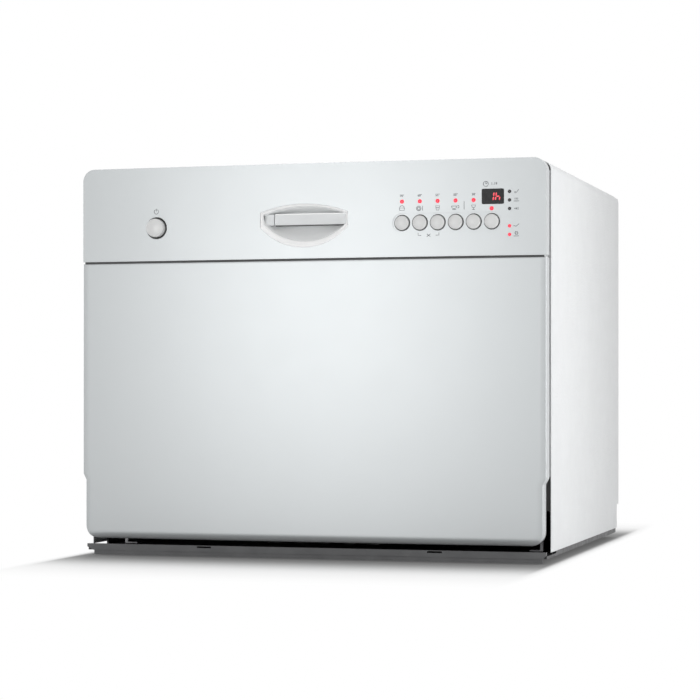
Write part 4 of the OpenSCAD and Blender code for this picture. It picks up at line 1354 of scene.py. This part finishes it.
def pictures():
    """Lines of the panel's pictures, as widths and heights in millimetres."""
    made = []
    # The power sign over its button
    x, z = -181.0, 396.4
    made.append(arc(x, z, 2.6, 115, 425, 24))
    made.append([(x, z + 0.4), (x, z + 3.4)])
    # The clock over the display
    cx, cz = 205.3, 418.8
    made.append(arc(cx, cz, 2.8, 0, 360, 24))
    made.append([(cx, cz), (cx + 1.4, cz + 1.0)])
    made.append([(cx, cz), (cx, cz + 1.9)])
    # The divider between the programmes, and the bracket and cross below them
    made.append([(181, 391.2), (181, 400.2)])
    made.append([(129, 366.2), (129, 363.4), (132.5, 363.4)])
    made.append([(152.6, 366.2), (152.6, 363.4), (149, 363.4)])
    made.append([(138.9, 361.8), (142.9, 365.0)])
    made.append([(138.9, 365.0), (142.9, 361.8)])
    # The programmes, from a pot to a glass
    x, z = BUTTON_X[0], 393.9
    made.append([(x - 2.6, z + 0.3), (x - 2.6, z - 2.4), (x + 2.6, z - 2.4)])
    made[-1] += [(x + 2.6, z + 0.3), (x - 2.6, z + 0.3)]
    made.append(arc(x, z + 0.3, 2.6, 0, 180, 12))
    made.append([(x - 3.4, z - 0.6), (x - 2.6, z - 0.6)])
    made.append([(x + 2.6, z - 0.6), (x + 3.4, z - 0.6)])
    x = BUTTON_X[1]
    made.append(arc(x - 1.2, z - 0.6, 2.6, 0, 360, 20))
    made.append(arc(x - 1.2, z - 0.6, 1.5, 0, 360, 16))
    made.append([(x + 3.2, z + 2), (x + 3.2, z - 3)])
    x = BUTTON_X[2]
    made.append([(x - 2.2, z + 2), (x - 1.5, z - 2.8), (x + 1.5, z - 2.8)])
    made[-1] += [(x + 2.2, z + 2), (x - 2.2, z + 2)]
    made.append([(x - 1.9, z - 0.2), (x + 1.9, z - 0.2)])
    x = BUTTON_X[3]
    made.append(arc(x - 1.6, z + 1.4, 3.0, 190, 350, 12))
    made.append([(x - 4.6, z + 1.2), (x + 1.4, z + 1.2)])
    made.append(arc(x + 2.6, z + 0.4, 1.4, -110, 110, 10))
    made.append([(x - 3.6, z - 2.6), (x + 0.6, z - 2.6)])
    x = BUTTON_X[4]
    made.append([(x - 2.4, z + 2), (x - 1.5, z - 0.4), (x, z - 1.0)])
    made[-1] += [(x + 1.5, z - 0.4), (x + 2.4, z + 2), (x - 2.4, z + 2)]
    made.append([(x, z - 1.0), (x, z - 3.0)])
    made.append([(x - 1.6, z - 3.0), (x + 1.6, z - 3.0)])
    # The signs beside the status lamps, from the top down
    sx = 239.4
    made.append([(sx - 2.4, 408.4), (sx - 0.4, 408.4), (sx + 2.6, 412.0)])
    made.append([(sx - 2.4, 409.4), (sx - 0.6, 409.4)])
    for k in (-1.5, 0, 1.5):
        made.append([(sx + k, 401.0), (sx + k, 403.0)])
    made.append([(sx - 3, 399.4), (sx + 3, 399.4)])
    made.append([(sx - 2.6, 391.2), (sx + 0.6, 391.2)])
    made.append([(sx + 0.6, 391.2), (sx - 0.6, 392.4)])
    made.append([(sx + 0.6, 391.2), (sx - 0.6, 390.0)])
    made.append([(sx + 1.8, 389.6), (sx + 1.8, 392.8)])
    made.append([(sx - 3.4, 371.8), (sx - 2.4, 372.8), (sx - 1.4, 371.8)])
    made[-1] += [(sx - 0.2, 371.8), (sx + 3.0, 374.4)]
    made.append([(sx - 3, 361.0), (sx + 3, 361.0)])
    made.append(arc(sx, 364.2, 1.3, 0, 360, 14))
    for a in range(0, 360, 60):
        c, s = math.cos(math.radians(a)), math.sin(math.radians(a))
        made.append([(sx + 1.6 * c, 364.2 + 1.6 * s), (sx + 2.3 * c, 364.2 + 2.3 * s)])
    return made


class DISHWASHER_OT_panel_print(MakesPiece, bpy.types.Operator):
    """Numbers and pictures printed on the panel"""

    bl_idname = "dishwasher.panel_print"
    bl_label = "Panel print"

    def execute(self, context):
        marks = [
            ("70°", BUTTON_X[0], 407.6, 3.6),
            ("60°", BUTTON_X[1], 407.6, 3.6),
            ("55°", BUTTON_X[2], 407.6, 3.6),
            ("50°", BUTTON_X[3], 407.6, 3.6),
            ("30'", BUTTON_X[4], 407.6, 3.6),
            ("1-19", 214.6, 418.8, 3.8),
        ]
        flat = joined("numbers", [digits(t, x, z, s) for t, x, z, s in marks])
        settle(
            "panel_numbers",
            raised_print("panel_numbers", flat),
            "door",
            "dark_plastic",
            ink(),
        )
        paths = [[on_face(x, z, -0.1) for x, z in path] for path in pictures()]
        made = wires("panel_pictures", paths, 0.3, 0.0, ink(), sides=8)
        settle("panel_pictures", made, "door", "dark_plastic", ink())
        return {"FINISHED"}


# ---------------------------------------------------------------- door inside


class DISHWASHER_OT_door_inside(MakesPiece, bpy.types.Operator):
    """Inner door, hinge plates, dispenser, latch and the electronics"""

    bl_idname = "dishwasher.door_inside"
    bl_label = "Door inside"

    def execute(self, context):
        dress("door_liner", 1.0, segments=3)
        for node in ("dispenser_body", "dispenser_lid", "rinse_cap"):
            dress(node, 0.5)
        for node in ("latch_hook", "control_board", "switch_carrier"):
            dress(node, 0.3)
        # Dark steel in place of the zinc slot, so the door's foot reads black: painted shade
        dress("hinge_arms", 0.3, dark_steel())
        screws(
            "liner_screws",
            "door",
            [(s * 254, 26, z) for s in (-1, 1) for z in (110, 190, 270, 350, 425)]
            + [(x, 26, 32.5) for x in (-180, -60, 60, 180)],
            head=3.2,
            tall=1.3,
        )
        return {"FINISHED"}


# ---------------------------------------------------------------- cabinet


class DISHWASHER_OT_shell(MakesPiece, bpy.types.Operator):
    """Painted steel wrap and the moulded back"""

    bl_idname = "dishwasher.shell"
    bl_label = "Cabinet shell"

    def execute(self, context):
        dress("cabinet_wrap", 0.5, segments=2)
        dress("rear_cover", 1.2, segments=3)
        screws(
            "rear_screws",
            "cabinet",
            [(s * 258, 508, z) for s in (-1, 1) for z in (135, 280, 420)]
            + [(x, 508, 424) for x in (-130, 0, 130)],
        )
        return {"FINISHED"}


class DISHWASHER_OT_base(MakesPiece, bpy.types.Operator):
    """Base tray, plinth, feet and the connections at the back"""

    bl_idname = "dishwasher.base"
    bl_label = "Base"

    def execute(self, context):
        # Dark moulding in place of the tray's own slot, so it reads as the shadow under the
        # wrap: painted shade
        dress("base_tray", 0.8, dark_plastic())
        dress("plinth", 0.5)
        skirt = slab(-262.5, 9, 1.2, 266.5, 11.5, 6.2)
        settle("plinth_skirt", skirt, "cabinet", SLOT_OF["plinth"])
        for node in ("feet", "inlet_valve", "drain_spigot", "cable_gland"):
            dress(node, 0.5)
        for node in ("wash_pump", "drain_pump", "water_softener", "sump"):
            dress(node, 0.8)
        for node in ("air_break_chamber", "door_strike"):
            dress(node, 0.4)
        # Dark steel in place of the zinc slot, so the door's foot reads black: painted shade
        dress("hinge_brackets", 0.4, dark_steel())
        dress("insulation_pad", 1.0)
        return {"FINISHED"}


class DISHWASHER_OT_tub(MakesPiece, bpy.types.Operator):
    """Steel tub, its front frame, gasket and rails"""

    bl_idname = "dishwasher.tub"
    bl_label = "Tub"

    def execute(self, context):
        for node in ("tub_wrap", "tub_back", "tub_floor", "tub_front_frame"):
            dress(node, 0.3)
        dress("door_gasket", 0.9, segments=3)
        seals_and_gap_shades = [slab(s * 258, 31, 58, s * 270.8, 33.8, 441) for s in (-1, 1)]
        seals_and_gap_shades += [slab(s * 10, 31, 438, s * 257.8, 33.8, 444) for s in (-1, 1)]
        settle("frame_seals", joined("frame_seals", seals_and_gap_shades), "cabinet", "dark_rubber")
        dress("rack_rails", 0.4)
        return {"FINISHED"}


# ---------------------------------------------------------------- rack


class DISHWASHER_OT_rack(MakesPiece, bpy.types.Operator):
    """Coated wire rack with its rings, brackets and tines"""

    bl_idname = "dishwasher.rack"
    bl_label = "Rack"

    def execute(self, context):
        gauge = looks().wire_gauge * 1000
        look = coated_wire()
        side, front, back = RACK_SIDE, RACK_FRONT, RACK_BACK
        low, bend, top = RACK_LOW, RACK_BEND, RACK_TOP
        columns = [-189.8 + i * 379.6 / 14 for i in range(15)]
        rows = [109 + i * 318.8 / 12 for i in range(13)]
        under = low - 2.6
        paths = [
            [(x, front, top), (x, front, bend), (x, 100, low), (x, back, low)]
            + [(x, back, top)]
            for x in columns
        ]
        paths += [
            [(-side, d, top), (-side, d, under), (side, d, under), (side, d, top)]
            for d in rows
        ]
        ring = [(-side, front), (side, front), (side, back), (-side, back)]
        ring.append(ring[0])
        paths.append([(x, d, bend + 6) for x, d in ring])
        light = wires("light", placed(paths), gauge, 5, look)
        paths = [[(x, d, top) for x, d in ring]]
        paths += [
            [(-side, d, top), (-side, d, SHELF_Z), (-202.5, d, SHELF_Z)]
            for d in SHELF_EYE_D
        ]
        heavy = wires("heavy", placed(paths), HEAVY_WIRE, 7, look, sides=12)
        parts = [light, heavy]
        for d in SHELF_EYE_D:
            eye = [(d - 2, 2.35), (d - 2, 5.2), (d - 1.6, 5.5), (d + 1.6, 5.5)]
            eye += [(d + 2, 5.2), (d + 2, 2.35), (d - 2, 2.35)]
            parts.append(lathe(eye, -200, SHELF_Z, 32))
        parts += [bracket(s, d) for s in (-1, 1) for d in AXLE_D]
        settle(
            "rack_wires",
            joined("rack_wires", parts),
            "rack",
            "rack_coating",
            nodes=("rack_basket",),
        )
        z = low + 3.05
        tines = []
        for i in (1, 3, 6, 8):
            x, tall = columns[i], (52 if i > 4 else 84)
            tines.append([(x, 124, z), (x, 402, z)])
            lean = tall * math.sin(math.radians(8))
            for d in range(136, 377, 30):
                bent = (x, d + lean * 0.9, z + tall * 0.9)
                tip = (x, d + lean * 1.02, z + tall * 0.985)
                tines.append([(x, d, z), bent, tip])
        settle(
            "plate_tines_made",
            wires("plate_tines_made", placed(tines), TINE_WIRE, 3, look),
            "rack",
            "rack_coating",
            nodes=("plate_tines",),
        )
        dress("rack_grip", 1.0, segments=3)
        return {"FINISHED"}


def bracket(side, d):
    """Plate and axle that carry one rack wheel."""
    bm = bmesh.new()
    x0, x1 = sorted((side * 207, side * 211))
    bmesh.ops.create_cube(bm, size=1)
    for v in bm.verts:
        across, up = x0 if v.co.x < 0 else x1, 87.3 if v.co.z < 0 else 126
        v.co = at(across, d + 14 * v.co.y, up)
    bmesh.ops.bevel(
        bm,
        geom=bm.edges[:],
        offset=0.0012,
        segments=2,
        affect="EDGES",
        clamp_overlap=True,
    )

    def corner(out, r, angle):
        z = AXLE_Z + r * math.sin(angle)
        return at(side * (210 + out), d + r * math.cos(angle), z)

    spun(bm, [(0, 0), (0, 2.5), (12.6, 2.5), (13, 2.1), (13, 0)], corner, 24)
    bmesh.ops.recalc_face_normals(bm, faces=bm.faces)
    mesh = bpy.data.meshes.new("bracket")
    bm.to_mesh(mesh)
    bm.free()
    return mesh


class DISHWASHER_OT_rack_fittings(MakesPiece, bpy.types.Operator):
    """Wheels, cutlery basket and folding cup shelf"""

    bl_idname = "dishwasher.rack_fittings"
    bl_label = "Rack fittings"

    def execute(self, context):
        for i in range(1, 5):
            dress("rack_wheel_%d" % i, 0.8, segments=3)
        dress("cutlery_basket", 0.5)
        look = coated_wire()
        front, back = 102, 402
        rungs = [front + 3 + i * 24.5 for i in range(13)]
        light = [[(-201, d, 264), (-115.5, d, 264)] for d in rungs]
        heavy = [[(x, front, z), (x, back, z)] for x, z in ((-200, SHELF_Z), (-116, 266))]
        parts = [
            wires("light", placed(light), LIGHT_WIRE, 0, look),
            wires("heavy", placed(heavy), HEAVY_WIRE, 0, look, sides=12),
        ]
        settle(
            "cup_shelf_made",
            joined("cup_shelf_made", parts),
            "cup_shelf",
            SLOT_OF["cup_shelf"],
            nodes=("cup_shelf",),
        )
        return {"FINISHED"}


class DISHWASHER_OT_washing(MakesPiece, bpy.types.Operator):
    """Spray arm, filters, heater and salt cap"""

    bl_idname = "dishwasher.washing"
    bl_label = "Washing parts"

    def execute(self, context):
        dress("spray_arm", 1.2, segments=3)
        for node in ("spray_bearing", "salt_cap", "heater", "filter_plate"):
            dress(node, 0.4)
        dress("micro_filter", 0.3)
        return {"FINISHED"}


# ---------------------------------------------------------------- studio


# Each lamp's name, place, aim, width and height in metres, and power in watts
LAMPS = (
    ("front_key", (-0.76, -3.03, 0.34), (0, -0.25, 0.25), (0.95, 1.1), 17.5),
    ("front_wide", (-0.6, -3.0, 1.6), (0, -0.25, 0.24), (2.0, 1.4), 6),
    ("right_near", (0.8, -0.27, 0.26), (0.27, -0.14, 0.22), (0.3, 0.9), 3.3),
    ("left_soft", (-2.0, 0.2, 0.7), (-0.27, 0, 0.2), (1.2, 1.2), 8),
    ("back_soft", (-0.8, 2.4, 1.2), (0, 0.26, 0.2), (1.0, 0.8), 18),
    ("top_soft", (0, 0, 2.3), (0, 0, 0), (2.4, 2.4), 17),
)
CAMERA_PLACE = (0.73062, -2.64369, 0.19503)
CAMERA_TURN = 15.919
CAMERA_SHIFT = 37.25 / 700


def lamp(name, place, aim, size, power):
    """A soft rectangular studio lamp."""
    light = bpy.data.lights.new(name, "AREA")
    light.shape = "RECTANGLE"
    light.size, light.size_y = size
    light.energy = power
    holder = bpy.data.objects.new(name, light)
    bpy.context.scene.collection.objects.link(holder)
    holder.location = place
    holder.rotation_euler = (
        (Vector(aim) - Vector(place)).to_track_quat("-Z", "Y").to_euler()
    )
    holder.visible_camera = False


def seen_directly(n):
    """1 for rays from the camera, off gloss or through glass, else 0."""
    path = n.add("ShaderNodeLightPath").outputs
    most = path["Is Camera Ray"]
    for kind in ("Is Glossy Ray", "Is Transmission Ray"):
        most = n.add(
            "ShaderNodeMath", {"operation": "MAXIMUM"}, _0=most, _1=path[kind]
        ).outputs[0]
    return most


def floor_finish():
    """A pale floor with a painted shadow, darker towards the object's footprint, over the
    object's lit shadow; it turns plain white further out.
    """
    material = bpy.data.materials.new("studio_floor")
    material.use_nodes = True
    n = Trees(material.node_tree)
    where = n.add("ShaderNodeTexCoord").outputs["Object"]
    white = n.add("ShaderNodeEmission", Strength=1.0)
    size = n.add("ShaderNodeVectorMath", {"operation": "ABSOLUTE"}, _0=where)
    past = size.outputs[0]
    for operation, by in (
        ("SUBTRACT", (0.2725, 0.26, 0)),
        ("MAXIMUM", (0, 0, 0)),
        ("MULTIPLY", (14, 1, 1)),
    ):
        past = n.add(
            "ShaderNodeVectorMath", {"operation": operation}, _0=past, _1=by
        ).outputs[0]
    far = n.add("ShaderNodeVectorMath", {"operation": "LENGTH"}, _0=past)
    near = n.add(
        "ShaderNodeMapRange",
        {"interpolation_type": "SMOOTHSTEP"},
        Value=far.outputs["Value"],
        From_Max=0.17,
    )
    # Painted shadow: the floor's colour runs from 0.15 at the object's footprint to 0.93
    # further out
    tone = n.add("ShaderNodeValToRGB", Fac=near.outputs[0])
    for stop, value in zip(tone.color_ramp.elements, (0.15, 0.93)):
        stop.color = (value, value, value, 1)
    painted_shadow_floor = n.add("ShaderNodeBsdfPrincipled", Base_Color=tone.outputs[0], Roughness=0.9)
    # The white glow's share rises from 0.1 at the footprint, a painted light that lifts the
    # shadow there, to full white for the backdrop further out
    out = n.add(
        "ShaderNodeMapRange",
        {"interpolation_type": "SMOOTHSTEP"},
        Value=far.outputs["Value"],
        From_Max=0.3,
        To_Min=0.1,
    )
    share = n.add(
        "ShaderNodeMath",
        {"operation": "MULTIPLY"},
        _0=out.outputs[0],
        _1=seen_directly(n),
    )
    mixed = n.add(
        "ShaderNodeMixShader",
        _0=share.outputs[0],
        _1=painted_shadow_floor.outputs[0],
        _2=white.outputs[0],
    )
    n.add("ShaderNodeOutputMaterial", Surface=mixed.outputs[0])
    return material


class DISHWASHER_OT_stage(MakesPiece, bpy.types.Operator):
    """Floor, lamps, world and camera"""

    bl_idname = "dishwasher.stage"
    bl_label = "Stage"

    def execute(self, context):
        scene = context.scene
        camera = bpy.data.cameras.new("studio_camera")
        camera.lens = looks().camera_lens
        camera.sensor_width = 36
        camera.shift_y = CAMERA_SHIFT
        camera.clip_end = 60
        holder = bpy.data.objects.new("studio_camera", camera)
        scene.collection.objects.link(holder)
        holder.location = CAMERA_PLACE
        holder.rotation_euler = (math.radians(90), 0, math.radians(CAMERA_TURN))
        scene.camera = holder
        bm = bmesh.new()
        bmesh.ops.create_grid(bm, x_segments=24, y_segments=24, size=14)
        mesh = bpy.data.meshes.new("studio_floor")
        bm.to_mesh(mesh)
        bm.free()
        mesh.materials.append(floor_finish())
        ground = bpy.data.objects.new("studio_floor", mesh)
        scene.collection.objects.link(ground)
        for name, place, aim, size, power in LAMPS:
            lamp(name, place, aim, size, power)
        world = bpy.data.worlds.new("studio_world")
        scene.world = world
        world.use_nodes = True
        n = Trees(world.node_tree)
        strength = n.add(
            "ShaderNodeMapRange", Value=seen_directly(n), To_Min=0.3, To_Max=1.0
        )
        sky = n.add("ShaderNodeBackground", Strength=strength.outputs[0])
        sky.inputs["Color"].default_value = (1, 1, 1, 1)
        n.add("ShaderNodeOutputWorld", Surface=sky.outputs[0])
        scene.view_settings.view_transform = "Standard"
        return {"FINISHED"}


OPERATORS = (
    DISHWASHER_OT_stage,
    DISHWASHER_OT_door_skin,
    DISHWASHER_OT_fascia,
    DISHWASHER_OT_handle,
    DISHWASHER_OT_buttons,
    DISHWASHER_OT_lamps,
    DISHWASHER_OT_display,
    DISHWASHER_OT_panel_print,
    DISHWASHER_OT_door_inside,
    DISHWASHER_OT_shell,
    DISHWASHER_OT_base,
    DISHWASHER_OT_tub,
    DISHWASHER_OT_rack,
    DISHWASHER_OT_rack_fittings,
    DISHWASHER_OT_washing,
)


class DISHWASHER_PT_pieces(bpy.types.Panel):
    """The dishwasher's settings and the operators that make it"""

    bl_idname = "DISHWASHER_PT_pieces"
    bl_label = "Dishwasher"
    bl_space_type = "VIEW_3D"
    bl_region_type = "UI"
    bl_category = "Dishwasher"

    def draw(self, context):
        settings = context.scene.dishwasher
        for key in settings.__annotations__:
            self.layout.prop(settings, key)
        for operator in OPERATORS:
            self.layout.operator(operator.bl_idname)


CLASSES = (DishwasherLooks, *OPERATORS, DISHWASHER_PT_pieces)


def register():
    for cls in CLASSES:
        bpy.utils.register_class(cls)
    bpy.types.Scene.dishwasher = bpy.props.PointerProperty(type=DishwasherLooks)


def unregister():
    del bpy.types.Scene.dishwasher
    for cls in reversed(CLASSES):
        bpy.utils.unregister_class(cls)


def main():
    register()
    for operator in OPERATORS:
        group, name = operator.bl_idname.split(".")
        getattr(getattr(bpy.ops, group), name)()


if __name__ == "__main__":
    main()
